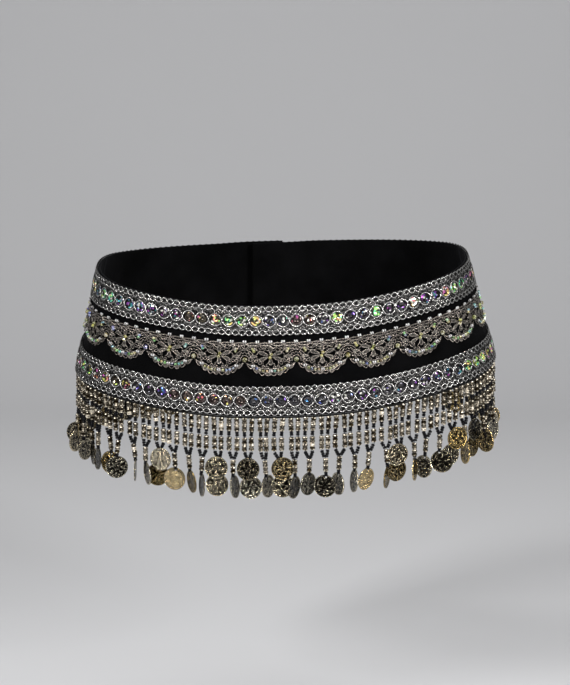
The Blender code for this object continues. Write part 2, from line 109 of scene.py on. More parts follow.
class LapSizes(bpy.types.PropertyGroup):
    flap_edge: angle("Flap edge", "Where the flap ends", -180.0)
    flap_lifted: angle("Flap lifted", "Where the flap has its full lift", -166.0)
    flap_flat: angle("Flap flat", "Where the flap's lift begins", -150.0)
    lift: length("Lift", "How far the flap stands out", 0.0032)
    under_flat: angle("Underlap flat", "Where the underlap's dip begins", 164.0)
    under_line: angle("Underlap line", "Where the underlap goes below the flap", 180.0)
    under_end: angle("Underlap end", "Where the underlap ends", 193.0)
    dip: length("Dip", "How far the underlap lies in", 0.0029)


class BraidSizes(bpy.types.PropertyGroup):
    width: length("Width", "The braid's width", 0.0254)
    top_down: length("Top braid", "From the band's top edge to the top braid", 0.0003)
    low_down: length("Lower braid", "From the band's top edge to the lower braid", 0.0682)
    edge_pitch: length("Edge pitch", "Length of a ring of the edge chains", 0.00572)
    edge_swing: length("Edge swing", "Half height of the edge chain's cords", 0.0022)
    edge_centre: length("Edge centre", "From the braid's edge to the chain's middle", 0.0028)
    edge_cord: length("Edge cord", "Half width of an edge cord", 0.00055)
    ring_pitch: length("Ring pitch", "Length of a ring of the middle row", 0.0114)
    top_offset: length("Top offset", "From the front centre to a sequin", -0.0008)
    low_offset: length("Lower offset", "From the front centre to a sequin", -0.0043)
    ring_swing: length("Ring swing", "Half height of the middle row's cords", 0.0052)
    ring_cord: length("Ring cord", "Half width of a ring cord", 0.00062)
    sequin_radius: length("Sequin radius", "Outer radius of a sequin", 0.0041)
    sequin_hole: length("Sequin hole", "Radius of a sequin's hole", 0.0006)


class LaceSizes(bpy.types.PropertyGroup):
    top_down: length("Top", "From the band's top edge to the lace", 0.0306)
    valley: length("Valley", "Depth where two scallops meet", 0.0209)
    drop: length("Scallop drop", "How far a scallop hangs below its valleys", 0.0082)
    scallops: count("Scallops", "Scallops all the way round", 22)
    phase: length("Phase", "From the front centre to the first valley", 0.0097)
    flower_down: length("Flower", "From the lace's top to a flower's middle", 0.0121)
    stone_down: length("Valley stone", "From the lace's top to the stone", 0.0153)


class FringeSizes(bpy.types.PropertyGroup):
    pairs: count("Pairs", "Pairs of strands, each with a coin", 78)
    strip_height: length("Strip height", "Height of the fringe's tape", 0.0020)
    strip_face: length("Strip face", "Height of the tape's face over the velvet", 0.0001)
    strip_depth: length("Strip depth", "Thickness of the tape", 0.0024)
    strand_width: length("Strand width", "Width of a strand's rod in the frame", 0.0030)
    strand: length("Strand", "Length of a strand above its join", 0.0285)
    merge: length("Merge", "Height in which a pair joins", 0.0060)
    drop: length("Drop", "Length of the drop below the join", 0.0152)
    coin_radius: length("Coin radius", "Radius of a coin", 0.0098)
    coin_hole: length("Coin hole", "Radius of the hole in a coin", 0.0008)
    bead_radius: length("Bead radius", "Radius of a silver bead", 0.00235)
    bead_pitch: length("Bead pitch", "Length of a silver bead", 0.00293)
    black_radius: length("Black bead radius", "Radius of a black bead", 0.00175)
    black_pitch: length("Black bead pitch", "Length of a black bead", 0.0021)
    sway_along: length("Sway along", "Most that a coin hangs to a side", 0.0026)
    sway_out: length("Sway out", "How far a coin hangs out or in", 0.0018)
    sway_spread: length("Sway spread", "Spread of the sway out", 0.0006)
    drop_spread: length("Drop spread", "Spread of the drops' lengths", 0.0016)
    turn: angle("Coin turn", "Most that a coin turns from the front", 80.0)
    turn_under: angle("Turn under", "Most that a coin under another turns", 25.0)
    high_turn: angle("High turn", "Most that a high coin turns", 12.0)
    high_out: length("High coin out", "From a knot to its high coin", 0.0030)
    knot_sway: number("Knot sway", "Share of a coin's sway that its knot has", 0.4)
    clearance: length("Clearance", "Least distance between two coins", 0.0017)
    drop_clearance: length("Drop clearance", "Least from a high coin to a drop", 0.0026)
    seed: count("Seed", "Seed of the fringe's sway", 11)


class Finishes(bpy.types.PropertyGroup):
    velvet: colour("Velvet", "Velvet pile", (0.0010, 0.0010, 0.0011))
    silver: colour("Silver cord", "Lurex cords of the braids", (0.62, 0.61, 0.59))
    tape: colour("Grey ground", "Ground of the braids", (0.10, 0.096, 0.092))
    lace: colour("Lace thread", "Warm silver thread of the lace", (0.36, 0.322, 0.285))
    bead: colour("Silver bead", "Silver-lined glass of the fringe", (0.86, 0.77, 0.58))
    lace_bead: colour("Lace bead", "Bright silver glass of the lace", (0.82, 0.80, 0.75))
    black_bead: colour("Black bead", "Black glass", (0.004, 0.004, 0.005))
    coin_silver: colour("Silver coin", "Worn silver plate", (0.86, 0.79, 0.62))
    coin_gold: colour("Old gold coin", "Worn gold plate", (0.56, 0.41, 0.16))
    steel: colour("Hook steel", "Nickel plate", (0.55, 0.55, 0.56))
    floor: colour("Floor", "Pale floor and backdrop", (0.62, 0.62, 0.63))


class StageSizes(bpy.types.PropertyGroup):
    camera_back: length("Camera distance", "From the belt's axis to the camera", 1.90)
    camera_height: length("Camera height", "Of the camera over the origin", 0.263)
    camera_pitch: angle("Camera pitch", "How far the camera looks down", 7.85)
    lens: number("Lens", "Focal length in millimetres", 112.6)
    floor_down: length("Floor", "From the origin down to the floor", 0.34)


class HipBeltSettings(bpy.types.PropertyGroup):
    band: PointerProperty(type=BandSizes)
    lap: PointerProperty(type=LapSizes)
    braid: PointerProperty(type=BraidSizes)
    lace: PointerProperty(type=LaceSizes)
    fringe: PointerProperty(type=FringeSizes)
    finishes: PointerProperty(type=Finishes)
    stage: PointerProperty(type=StageSizes)


# ---- The band's form


def smooth_step(share):
    """0 to 1 with level ends, for a share that is held between 0 and 1."""
    held = np.clip(share, 0.0, 1.0)
    return held * held * (3.0 - 2.0 * held)


def unit(ways):
    """The same ways, each one metre long."""
    return ways / np.linalg.norm(ways, axis=-1, keepdims=True)


class BandForm:
    """The outer face of the band as a function of an angle round the hips and a way down."""

    # a small way for slopes, and the points on a line that is measured
    STEP = 1e-4
    FINE = 6001

    def __init__(self, settings):
        self.band = settings.band
        self.lap = settings.lap
        self.lines = {}

    def section(self, turn, half_width, front, back):
        """Superellipse in polar form: its radius is (|sin/a|^n + |cos/b|^n) to the power -1/n."""
        power = self.band.section_power
        depth = np.where(np.cos(turn) > 0.0, front, back)
        across = np.abs(np.sin(turn) / half_width) ** power
        along = np.abs(np.cos(turn) / depth) ** power
        radius = (across + along) ** (-1.0 / power)
        return radius * np.sin(turn), -radius * np.cos(turn)

    def rise(self, turn):
        """Climb of the top edge: a half cosine from the front to rise_end, to a power, then level."""
        around = np.abs(np.mod(turn + math.pi, TURN) - math.pi)
        share = np.minimum(around, self.band.rise_end) / self.band.rise_end
        return self.band.side_rise * ((1.0 - np.cos(math.pi * share)) / 2.0) ** self.band.rise_power

    def bare(self, turn, down):
        """Straight lines from the top section to the lower one, tilted about the Y axis."""
        band = self.band
        top_x, top_y = self.section(turn, band.top_half_width, band.top_front, band.top_back)
        low_x, low_y = self.section(turn, band.low_half_width, band.low_front, band.low_back)
        flare = np.hypot(low_x - top_x, low_y - top_y)
        fall = np.sqrt(band.height**2 - flare**2)
        share = down / band.height
        x = top_x + (low_x - top_x) * share
        y = top_y + (low_y - top_y) * share
        z = band.height / 2.0 + self.rise(turn) - fall * share
        cosine, sine = math.cos(band.tilt), math.sin(band.tilt)
        return np.stack([x * cosine - z * sine, y, x * sine + z * cosine], axis=-1)

    def outward(self, turn, down):
        """Unit normal: the way down crossed with the way round."""
        ahead = self.bare(turn + self.STEP, down) - self.bare(turn - self.STEP, down)
        below = self.bare(turn, down + self.STEP) - self.bare(turn, down - self.STEP)
        return unit(np.cross(below, ahead))

    def lap_lift(self, turn):
        """Lift of the flap and dip of the underlap, each a smooth step."""
        lap = self.lap
        lifted = smooth_step((lap.flap_flat - turn) / (lap.flap_flat - lap.flap_lifted))
        dipped = smooth_step((turn - lap.under_flat) / (lap.under_line - lap.under_flat))
        return lap.lift * lifted - lap.dip * dipped

    def points(self, turn, down, out):
        """Points at an angle, a way down and a height over the face."""
        turn, down, out = np.broadcast_arrays(turn, down, out)
        height = (self.lap_lift(turn) + out)[..., None]
        return self.bare(turn, down) + self.outward(turn, down) * height

    def line(self, down):
        """Angles from the flap's edge to the underlap's line, and the length of the face to each."""
        if down not in self.lines:
            turns = np.linspace(self.lap.flap_edge, self.lap.under_line, self.FINE)
            steps = np.linalg.norm(np.diff(self.bare(turns, down), axis=0), axis=1)
            self.lines[down] = (turns, np.concatenate([[0.0], np.cumsum(steps)]))
        return self.lines[down]

    def round_length(self, down):
        """Length of the face all round at one height."""
        return float(self.line(down)[1][-1])

    def turns_at(self, place, down):
        """Angle at a place along the face, in metres from the flap's edge."""
        turns, lengths = self.line(down)
        return np.interp(place, lengths, turns)

    def place_at(self, turn, down):
        """Length of the face from the flap's edge to an angle."""
        turns, lengths = self.line(down)
        return np.interp(turn, turns, lengths)


# ---- Meshes from grids of points


def grid_faces(shape, close_along):
    """Corners and texture places of the quads on one or more grids of closed rings.

    The grid is counted as item, ring, place on the ring. Each quad goes one ring on and one place
    round. A grid that is closed along joins its last ring to its first. The texture place is the
    ring and the share round it.
    """
    items, rings, sides = shape
    index = np.arange(items * rings * sides).reshape(shape)
    steps = rings if close_along else rings - 1
    here = index[:, :steps]
    ahead = np.roll(index, -1, axis=1)[:, :steps]
    quads = np.stack([here, ahead, np.roll(ahead, -1, axis=2), np.roll(here, -1, axis=2)], axis=-1)
    ring, side = np.meshgrid(np.arange(steps), np.arange(sides), indexing="ij")
    first = side / sides
    second = (side + 1) / sides
    places = np.stack([ring, first, ring + 1, first, ring + 1, second, ring, second], axis=-1)
    places = np.broadcast_to(places.reshape(1, steps, sides, 4, 2), (*quads.shape, 2))
    return quads.reshape(-1, 4), places.reshape(-1, 4, 2).astype(float)


class Shape:
    """Points, faces of any size, texture places and point values, gathered from grids."""

    def __init__(self):
        self.points, self.corners, self.sizes, self.places = [], [], [], []
        self.values = {}
        self.total = 0

    def add(self, points, closed_along=False, **values):
        """Add grids of rings, with a cap on each open end and all faces turned outward.

        The faces point outward where the sum of the wedges under them is positive. values are
        point values, one for each item, or one for each point.
        """
        points = np.asarray(points, dtype=float)
        if points.ndim == 3:
            points = points[None]
        shape = points.shape[:3]
        quads, places = grid_faces(shape, closed_along)
        around_middle = (points - points.mean(axis=(1, 2), keepdims=True)).reshape(-1, 3)
        a, b, c, d = (around_middle[quads[:, corner]] for corner in range(4))
        bulk = np.einsum("ij,ij->i", a, np.cross(b, c)).sum()
        bulk += np.einsum("ij,ij->i", a, np.cross(c, d)).sum()
        if bulk < 0.0:
            quads, places = quads[:, ::-1], places[:, ::-1]
        self.points.append(points.reshape(-1, 3))
        self.corners.append((quads + self.total).ravel())
        self.sizes.append(np.full(len(quads), 4))
        self.places.append(places.reshape(-1, 2))
        if not closed_along:
            self.add_caps(shape, bulk < 0.0)
        for name, value in values.items():
            self.values.setdefault(name, []).append(spread(value, shape))
        self.total += points.size // 3
        return self

    def add_caps(self, shape, flipped):
        """A flat face on the first and the last ring of each item."""
        items, rings, sides = shape
        index = np.arange(items * rings * sides).reshape(shape) + self.total
        start = index[:, 0]
        end = index[:, -1, ::-1]
        if flipped:
            start, end = start[:, ::-1], end[:, ::-1]
        caps = np.concatenate([start, end])
        self.corners.append(caps.ravel())
        self.sizes.append(np.full(len(caps), sides))
        self.places.append(np.zeros((caps.size, 2)))

    def build(self, name, material, slot, smooth=True):
        """A mesh object at the origin that rides on the belt's body."""
        gathered = (self.points, self.corners, self.sizes, self.places)
        points, corners, sizes, places = (np.concatenate(parts) for parts in gathered)
        starts = np.concatenate([[0], np.cumsum(sizes)[:-1]])
        mesh = bpy.data.meshes.new(name)
        mesh.vertices.add(len(points))
        mesh.vertices.foreach_set("co", points.ravel())
        mesh.loops.add(len(corners))
        mesh.loops.foreach_set("vertex_index", corners.astype(np.int32))
        mesh.polygons.add(len(sizes))
        mesh.polygons.foreach_set("loop_start", starts.astype(np.int32))
        mesh.polygons.foreach_set("use_smooth", np.full(len(sizes), smooth))
        layer = mesh.uv_layers.new(name="UVMap")
        layer.data.foreach_set("uv", places.ravel())
        for value_name, parts in self.values.items():
            value = np.concatenate(parts)
            kind = "FLOAT" if value.ndim == 1 else "FLOAT_COLOR"
            attribute = mesh.attributes.new(value_name, kind, "POINT")
            attribute.data.foreach_set("value" if value.ndim == 1 else "color", value.ravel())
        mesh.update(calc_edges=True)
        mesh.validate()
        mesh.materials.append(material)
        piece = bpy.data.objects.new(name, mesh)
        bpy.context.scene.collection.objects.link(piece)
        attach(piece, BODY)
        return piece


def spread(value, shape):
    """A value for each item, or for each point, as an array with a row for each point."""
    value = np.asarray(value, dtype=float)
    if value.ndim < 3:
        value = value.reshape(shape[0], 1, 1, *value.shape[1:])
        value = np.broadcast_to(value, (*shape, *value.shape[3:]))
    return value.reshape(-1, *value.shape[3:])


def cord_rings(centre, normal, half_width, half_height, sides, closed=False):
    """Rings round paths: centre + width*cos*side + height*sin*normal, from the under side on."""
    if closed:
        run = np.roll(centre, -1, axis=-2) - np.roll(centre, 1, axis=-2)
    else:
        run = np.gradient(centre, axis=-2)
    run = unit(run)
    side = unit(np.cross(run, normal))
    up = np.cross(side, run)
    turns = TURN * np.arange(sides) / sides - math.pi / 2.0
    across = half_width * np.cos(turns)[:, None] * side[..., None, :]
    return centre[..., None, :] + (across + half_height * np.sin(turns)[:, None] * up[..., None, :])


def band_cord(form, place, down, out, half_width, half_height, sides, row, closed=False):
    """Rings of cords that lie on the band, from places along it, ways down and heights."""
    place, down, out = np.broadcast_arrays(place, down, out)
    turn = form.turns_at(place, row)
    centre = form.points(turn, down, out)
    normal = form.outward(turn, down)
    return cord_rings(centre, normal, half_width, half_height, sides, closed)


def turned(profile, sides):
    """A closed profile of radius and height turned about its axis: rings of points."""
    profile = np.asarray(profile, dtype=float)
    turns = TURN * np.arange(sides) / sides
    radius, height = profile[:, 0], profile[:, 1]
    x = radius[:, None] * np.cos(turns)
    y = radius[:, None] * np.sin(turns)
    z = np.broadcast_to(height[:, None], x.shape)
    return np.stack([x, y, z], axis=-1)


def placed(template, centres, axes):
    """Copies of a template: centre + template in the item's own three ways."""
    return centres[:, None, None, :] + np.einsum("rsk,mkc->mrsc", template, axes)


def rolled(first, second, third, roll):
    """Three ways for each item, the first two turned about the third by a roll."""
    cosine, sine = np.cos(roll)[:, None], np.sin(roll)[:, None]
    return np.stack([first * cosine + second * sine, second * cosine - first * sine, third], axis=1)


def frames_along(ways, roll):
    """Three ways for each item, the third along the given way."""
    along = unit(ways)
    level = np.zeros_like(along)
    level[:, 2] = 1.0
    flat = np.abs(along[:, 2]) > 0.9
    level[flat] = (0.0, 1.0, 0.0)
    first = unit(np.cross(level, along))
    return rolled(first, np.cross(along, first), along, roll)


def frames_on_band(form, place, down, out, row, roll=0.0):
    """Places on the band and their three ways: round, up and outward."""
    turn = form.turns_at(place, row)
    centre = form.points(turn, down, out)
    outward = form.outward(turn, down)
    ahead = unit(form.bare(turn + form.STEP, down) - form.bare(turn - form.STEP, down))
    up = np.cross(outward, ahead)
    return centre, rolled(ahead, up, outward, np.broadcast_to(roll, place.shape))


# ---- Materials


def with_cover(shade):
    """Three channels and full cover, from a grey or a colour of three channels."""
    return (*shade, 1.0) if hasattr(shade, "__len__") else (shade, shade, shade, 1.0)


def shaded(base, factor):
    """A colour times a factor, or times one factor for each channel."""
    return tuple(np.array(base) * factor)


class Paint:
    """Builds a node material a node at a time."""

    def __init__(self, name):
        self.material = bpy.data.materials.new(name)
        self.material.use_nodes = True
        self.tree = self.material.node_tree
        self.shader = self.tree.nodes["Principled BSDF"]

    def give(self, socket, value):
        """Link an output to a socket, or set the socket's value."""
        if isinstance(value, bpy.types.NodeSocket):
            self.tree.links.new(value, socket)
        elif hasattr(value, "__len__") and len(socket.default_value) == 4:
            socket.default_value = with_cover(value)
        else:
            socket.default_value = value

    def use(self, **values):
        """Outputs or constants for the shader's own sockets, with underscores for spaces."""
        for name, value in values.items():
            self.give(self.shader.inputs[name.replace("_", " ")], value)
        return self.material

    def node(self, kind, inputs=(), **settings):
        """A node with its settings, and its inputs by name from values or outputs."""
        made = self.tree.nodes.new(kind)
        for name, value in settings.items():
            setattr(made, name, value)
        for name, value in dict(inputs).items():
            self.give(made.inputs[name], value)
        return made

    def math(self, operation, first, second=0.0, clamp=False):
        """A math node's output, held between 0 and 1 where it is clamped."""
        made = self.node("ShaderNodeMath", {0: first, 1: second}, operation=operation, use_clamp=clamp)
        return made.outputs[0]

    def plus(self, first, second, clamp=False):
        """The sum of two numbers."""
        return self.math("ADD", first, second, clamp)

    def minus(self, first, second):
        """The first number less the second."""
        return self.math("SUBTRACT", first, second)

    def times(self, first, second, clamp=False):
        """The product of two numbers."""
        return self.math("MULTIPLY", first, second, clamp)

    def mix(self, share, first, second, blend="MIX"):
        """Two colours mixed by a share."""
        made = self.tree.nodes.new("ShaderNodeMix")
        made.data_type = "RGBA"
        made.blend_type = blend
        for socket, value in ((0, share), (6, first), (7, second)):
            self.give(made.inputs[socket], value)
        return made.outputs[2]

    def tinted(self, first, second):
        """Two colours multiplied."""
        return self.mix(1.0, first, second, "MULTIPLY")

    def value(self, name):
        """A point value of the mesh, as a number."""
        return self.node("ShaderNodeAttribute", attribute_name=name).outputs["Fac"]

    def tint(self, name):
        """A point value of the mesh, as a colour."""
        return self.node("ShaderNodeAttribute", attribute_name=name).outputs["Color"]

    def here(self):
        """Object coordinates."""
        return self.node("ShaderNodeTexCoord").outputs["Object"]

    def parts(self, vector):
        """The three numbers of a vector."""
        return tuple(self.node("ShaderNodeSeparateXYZ", {"Vector": vector}).outputs)

    def along_and_round(self):
        """The texture place: the ring along a cord or a bead, and the share round it."""
        return self.parts(self.node("ShaderNodeUVMap", uv_map="UVMap").outputs["UV"])[:2]

    def noise(self, scale, detail=2.0, roughness=0.5, where=None):
        """A noise texture's value."""
        inputs = {"Vector": where or self.here(), "Scale": scale, "Detail": detail, "Roughness": roughness}
        return self.node("ShaderNodeTexNoise", inputs).outputs["Fac"]

    def ramp(self, value, *stops):
        """A ramp of greys or colours: pairs of a place and a grey or a colour."""
        made = self.node("ShaderNodeValToRGB", {"Fac": value})
        elements = made.color_ramp.elements
        while len(elements) < len(stops):
            elements.new(0.5)
        for element, (place, shade) in zip(elements, stops):
            element.position = place
            element.color = with_cover(shade)
        return made.outputs["Color"]

    def bump(self, height, strength, distance, before=None):
        """A bump from a height, on top of another bump."""
        inputs = {"Height": height, "Strength": strength, "Distance": distance}
        if before is not None:
            inputs["Normal"] = before
        return self.node("ShaderNodeBump", inputs).outputs["Normal"]


def velvet_material(finishes):
    """Black pile: a fine fuzzy bump, brushed patches, and a sheen along the folds."""
    paint = Paint("velvet")
    brushed = paint.ramp(paint.noise(38.0, detail=3.0), (0.35, 0.0), (0.7, 1.0))
    tone = paint.mix(brushed, shaded(finishes.velvet, 1.0), shaded(finishes.velvet, 2.6))
    patches = paint.bump(paint.noise(160.0, detail=3.0), strength=0.25, distance=0.0008)
    pile = paint.bump(paint.noise(2600.0), strength=0.7, distance=0.0004, before=patches)
    paint.use(Roughness=0.95, Specular_IOR_Level=0.05)
    paint.use(Sheen_Weight=0.06, Sheen_Roughness=0.35, Sheen_Tint=(0.3, 0.3, 0.34))
    return paint.use(Base_Color=tone, Normal=pile)


def tape_material(finishes):
    """Grey lurex ground: scattered metal flecks on a dark weave."""
    paint = Paint("braid_ground")
    fleck = paint.noise(1100.0, detail=3.0, roughness=0.7)
    weave = paint.noise(420.0, detail=1.0)
    bright = paint.ramp(paint.plus(fleck, paint.times(weave, 0.3)), (0.725, 0.0), (0.785, 1.0))
    tone = paint.mix(bright, shaded(finishes.tape, 0.03), shaded(finishes.tape, 3.6))
    paint.use(Metallic=0.8, Roughness=0.38)
    return paint.use(Base_Color=tone, Normal=paint.bump(fleck, strength=0.9, distance=0.0006))


def twisted_material(name, base, roughness, turns, dark, crown):
    """Metallic thread twisted round itself: slanted stripes, and painted shade that darkens its sides.

    The texture place runs along the cord and round it, from its under side. turns is the twist
    from one ring of the cord to the next, dark the shade between the stripes, and the last argument
    how far from the top the cord keeps its colour before the painted shade on its sides begins.
    """
    paint = Paint(name)
    along, round_cord = paint.along_and_round()
    slant = paint.plus(paint.times(along, TURN * turns), paint.times(round_cord, TURN * 2.0))
    stripes = paint.plus(paint.times(paint.math("SINE", slant), 0.5), 0.5)
    fleck = paint.noise(900.0, detail=3.0, roughness=0.65)
    shade = paint.ramp(paint.plus(paint.times(stripes, 0.3), fleck), (0.36, dark), (0.66, 1.0))
    # painted shade: the cord's colour darkens from its top towards its sides and under side
    from_top = paint.math("ABSOLUTE", paint.minus(round_cord, 0.5))
    sides = paint.ramp(from_top, (crown, 1.0), (crown + 0.13, 0.03))
    tone = paint.tinted(paint.tinted(tuple(base), shade), sides)
    normal = paint.bump(stripes, strength=0.5, distance=0.0004)
    normal = paint.bump(fleck, strength=0.4, distance=0.0003, before=normal)
    paint.use(Metallic=0.9, Roughness=roughness)
    return paint.use(Base_Color=tone, Normal=normal)


def sequin_material():
    """Hologram film: dark with a tint, and small facets painted as glints in a clear colour or in near white,
    which also glow by emission.
    """
    paint = Paint("hologram_sequin")
    facets = paint.node("ShaderNodeTexVoronoi", {"Vector": paint.here(), "Scale": 610.0})
    chance, lean, paleness = paint.node("ShaderNodeSeparateColor", {"Color": facets.outputs["Color"]}).outputs
    # painted glints: facets picked at random, by each sequin's share, are painted bright
    lit = paint.math("LESS_THAN", chance, paint.value("spark"))
    hue = paint.plus(paint.times(lean, 0.36), 0.32)
    inputs = {"Hue": hue, "Saturation": 0.84, "Color": paint.tint("glow")}
    painted_glint_colour = paint.node("ShaderNodeHueSaturation", inputs).outputs["Color"]
    # the painted glints take a clear colour, or near white
    painted_glint_colour = paint.mix(paint.math("LESS_THAN", paleness, 0.27), painted_glint_colour, (0.9, 0.88, 0.8))
    grey = paint.ramp(paleness, (0.0, (0.015, 0.015, 0.016)), (1.0, (0.13, 0.12, 0.11)))
    film = paint.mix(0.3, grey, paint.tinted(paint.tint("glow"), (0.09, 0.08, 0.075)))
    tone = paint.mix(lit, film, painted_glint_colour)
    paint.use(Metallic=0.85, Roughness=0.2, Coat_Weight=0.4, Coat_Roughness=0.06)
    # the painted glints also glow by emission
    paint.use(Emission_Color=tone, Emission_Strength=paint.times(lit, 0.34))
    return paint.use(Base_Color=tone, Normal=paint.bump(lean, strength=0.6, distance=0.0012))


# a bead of six rings has the middle of its belt between the third and the fourth
BELT_RING = 2.5


def bead_material(name, base, metallic, bright):
    """Silver-lined glass in painted shade, with painted highlight bands round the bead, and painted
    reflections in patches of its lining.

    The texture place counts the bead's rings from one end to the other. bright gives the painted highlight's
    brightness by half the distance from the belt in rings. Each bead's value for its painted end highlight is
    -1 or 1 when one end of it carries the painted highlight in full, at the four corners of its square hole.
    The bead's tone sets how strongly its painted highlights and reflections show, and the metal is lowered
    where they are painted.
    """
    paint = Paint(name)
    ring, round_bead = paint.along_and_round()
    from_belt = paint.times(paint.math("ABSOLUTE", paint.minus(ring, BELT_RING)), 0.5)
    # painted highlight: bright bands round the bead, near its ends
    painted_band = paint.ramp(from_belt, *bright)
    lining = paint.noise(1300.0)
    # painted reflection: patches of the lining painted bright
    patches = paint.ramp(lining, (0.52, 0.0), (0.58, 1.0))
    end = paint.minus(paint.times(paint.math("GREATER_THAN", ring, BELT_RING), 2.0), 1.0)
    lit = paint.times(end, paint.value("lit_end"), clamp=True)
    # four painted highlight dots round the bead, at the corners of its square hole, on the end each bead's
    # value picks
    corner = paint.math("COSINE", paint.times(round_bead, 4.0 * TURN))
    corner = paint.plus(paint.times(corner, 0.85), 0.55, clamp=True)
    lit = paint.times(paint.times(painted_band, lit), corner)
    painted_shine = paint.plus(paint.times(painted_band, 0.7), paint.times(patches, 0.8))
    painted_shine = paint.plus(paint.times(painted_shine, paint.value("tone")), lit, clamp=True)
    # the bead's colour runs from painted shade to painted highlight
    tone = paint.mix(painted_shine, shaded(base, (0.03, 0.022, 0.010)), shaded(base, (1.16, 1.16, 1.25)))
    # less metal where highlights are painted, so that they read brighter
    metal = paint.minus(metallic, paint.times(painted_shine, 0.6 * metallic))
    paint.use(Roughness=0.12, Specular_Tint=(0.4, 0.38, 0.3), Coat_Weight=0.12, Coat_Roughness=0.03)
    normal = paint.bump(lining, strength=0.5, distance=0.0008)
    return paint.use(Base_Color=tone, Metallic=metal, Normal=normal)


def black_bead_material(finishes):
    """Black glass, slightly uneven."""
    paint = Paint("black_bead")
    tone = paint.mix(paint.noise(900.0), shaded(finishes.black_bead, 0.5), shaded(finishes.black_bead, 2.0))
    paint.use(Roughness=0.2, Specular_IOR_Level=0.1)
    normal = paint.bump(paint.noise(1200.0), strength=0.15, distance=0.0004)
    return paint.use(Base_Color=tone, Normal=normal)


def crystal_material():
    """Clear stones with a rainbow coat over foil, each in its own colour, with painted highlights in near
    white and dark facets between painted as shade.
    """
    paint = Paint("rainbow_crystal")
    cloud = paint.noise(900.0)
    # painted highlight: cloudy patches mixed towards near white
    lit = paint.mix(paint.ramp(cloud, (0.5, 0.0), (0.62, 1.0)), paint.tint("glow"), (0.9, 0.9, 0.82))
    # painted shade: dark facets between the bright patches
    tone = paint.mix(paint.ramp(cloud, (0.44, 0.0), (0.48, 1.0)), (0.05, 0.045, 0.02), lit)
    paint.use(Metallic=0.35, Roughness=0.1, Coat_Weight=1.0, Coat_Roughness=0.02)
    return paint.use(Base_Color=tone)


def bell(paint, value, middle, width):
    """A bell curve of a value about a middle."""
    away = paint.math("DIVIDE", paint.minus(value, middle), width)
    return paint.math("EXPONENT", paint.times(paint.times(away, away), -1.0))


def coin_material():
    """Thin stamped metal: a rim, a ring of dots and a rosette, brighter on the relief and darker in the
    hollows, partly patina and partly painted shade, with painted reflections as dark and bright blobs
    over the hammered face.

    The place on the face comes from the coin's own values, with the number of the rosette's rays.
    The relief is a sum of rings: each a bell curve of the distance from the middle, and some times
    a cosine of the angle.
    """
    paint = Paint("stamped_coin")
    x, y, rays = paint.parts(paint.tint("face"))
    reach = paint.math("SQRT", paint.plus(paint.times(x, x), paint.times(y, y)))
    turn = paint.math("ARCTAN2", y, x)
    dots = paint.plus(paint.math("COSINE", paint.times(turn, 30.0)), 0.2)
    dots = paint.times(dots, bell(paint, reach, 0.83, 0.045))
    ray = paint.math("COSINE", paint.plus(paint.times(turn, rays), 0.4))
    ray = paint.times(ray, bell(paint, reach, 0.5, 0.16))
    leaf = paint.math("COSINE", paint.times(paint.times(turn, rays), 2.0))
    leaf = paint.times(leaf, bell(paint, reach, 0.24, 0.09))
    border, groove = bell(paint, reach, 0.96, 0.05), bell(paint, reach, 0.70, 0.03)
    height = paint.times(dots, 0.7)
    for part, weight in ((ray, 0.5), (leaf, 0.5), (border, 1.0), (groove, 0.6)):
        height = paint.plus(height, paint.times(part, weight))
    hammer = paint.noise(760.0)
    # painted reflection: the hammer noise paints dark and bright blobs, the relief adds a little brightness,
    # and each coin's own value shifts how much of the face is bright
    raised = paint.plus(paint.times(height, 0.16), paint.times(hammer, 0.75))
    wear_and_painted_reflection = paint.plus(raised, paint.value("wear"))
    # the face's colour from near black to full: patina in the hollows, painted shade and painted reflections
    shade = paint.ramp(wear_and_painted_reflection, (0.405, 0.015), (0.432, 0.3), (0.475, 1.0))
    rough = paint.ramp(hammer, (0.35, 0.07), (0.65, 0.2))
    normal = paint.bump(hammer, strength=0.8, distance=0.0016)
    normal = paint.bump(height, strength=0.9, distance=0.0007, before=normal)
    paint.use(Metallic=1.0)
    return paint.use(Base_Color=paint.tinted(paint.tint("glow"), shade), Roughness=rough, Normal=normal)


def thread_material():
    """Black sewing thread."""
    paint = Paint("black_thread")
    tone = paint.ramp(paint.noise(1800.0), (0.3, 0.002), (0.7, 0.012))
    paint.use(Roughness=0.8, Specular_IOR_Level=0.15)
    normal = paint.bump(paint.noise(2400.0), strength=0.4, distance=0.0002)
    return paint.use(Base_Color=tone, Normal=normal)


def hook_material(finishes):
    """Nickel plate with fine rub marks, drawn out along two axes."""
    paint = Paint("hook_nickel")
    stretched = paint.node("ShaderNodeMapping", {"Vector": paint.here(), "Scale": (300.0, 300.0, 2400.0)})
    marks = paint.noise(1.0, detail=3.0, roughness=0.6, where=stretched.outputs["Vector"])
    tone = paint.mix(marks, shaded(finishes.steel, 0.6), shaded(finishes.steel, 1.3))
    rough = paint.ramp(marks, (0.3, 0.2), (0.7, 0.4))
    paint.use(Metallic=1.0)
    normal = paint.bump(marks, strength=0.1, distance=0.0002)
    return paint.use(Base_Color=tone, Roughness=rough, Normal=normal)


def floor_material(finishes):
    """Plain pale paper."""
    paint = Paint("pale_floor")
    tone = paint.mix(paint.noise(3.0), shaded(finishes.floor, 0.985), shaded(finishes.floor, 1.0))
    paint.use(Roughness=0.9, Specular_IOR_Level=0.2)
    return paint.use(Base_Color=tone)


# ---- Velvet


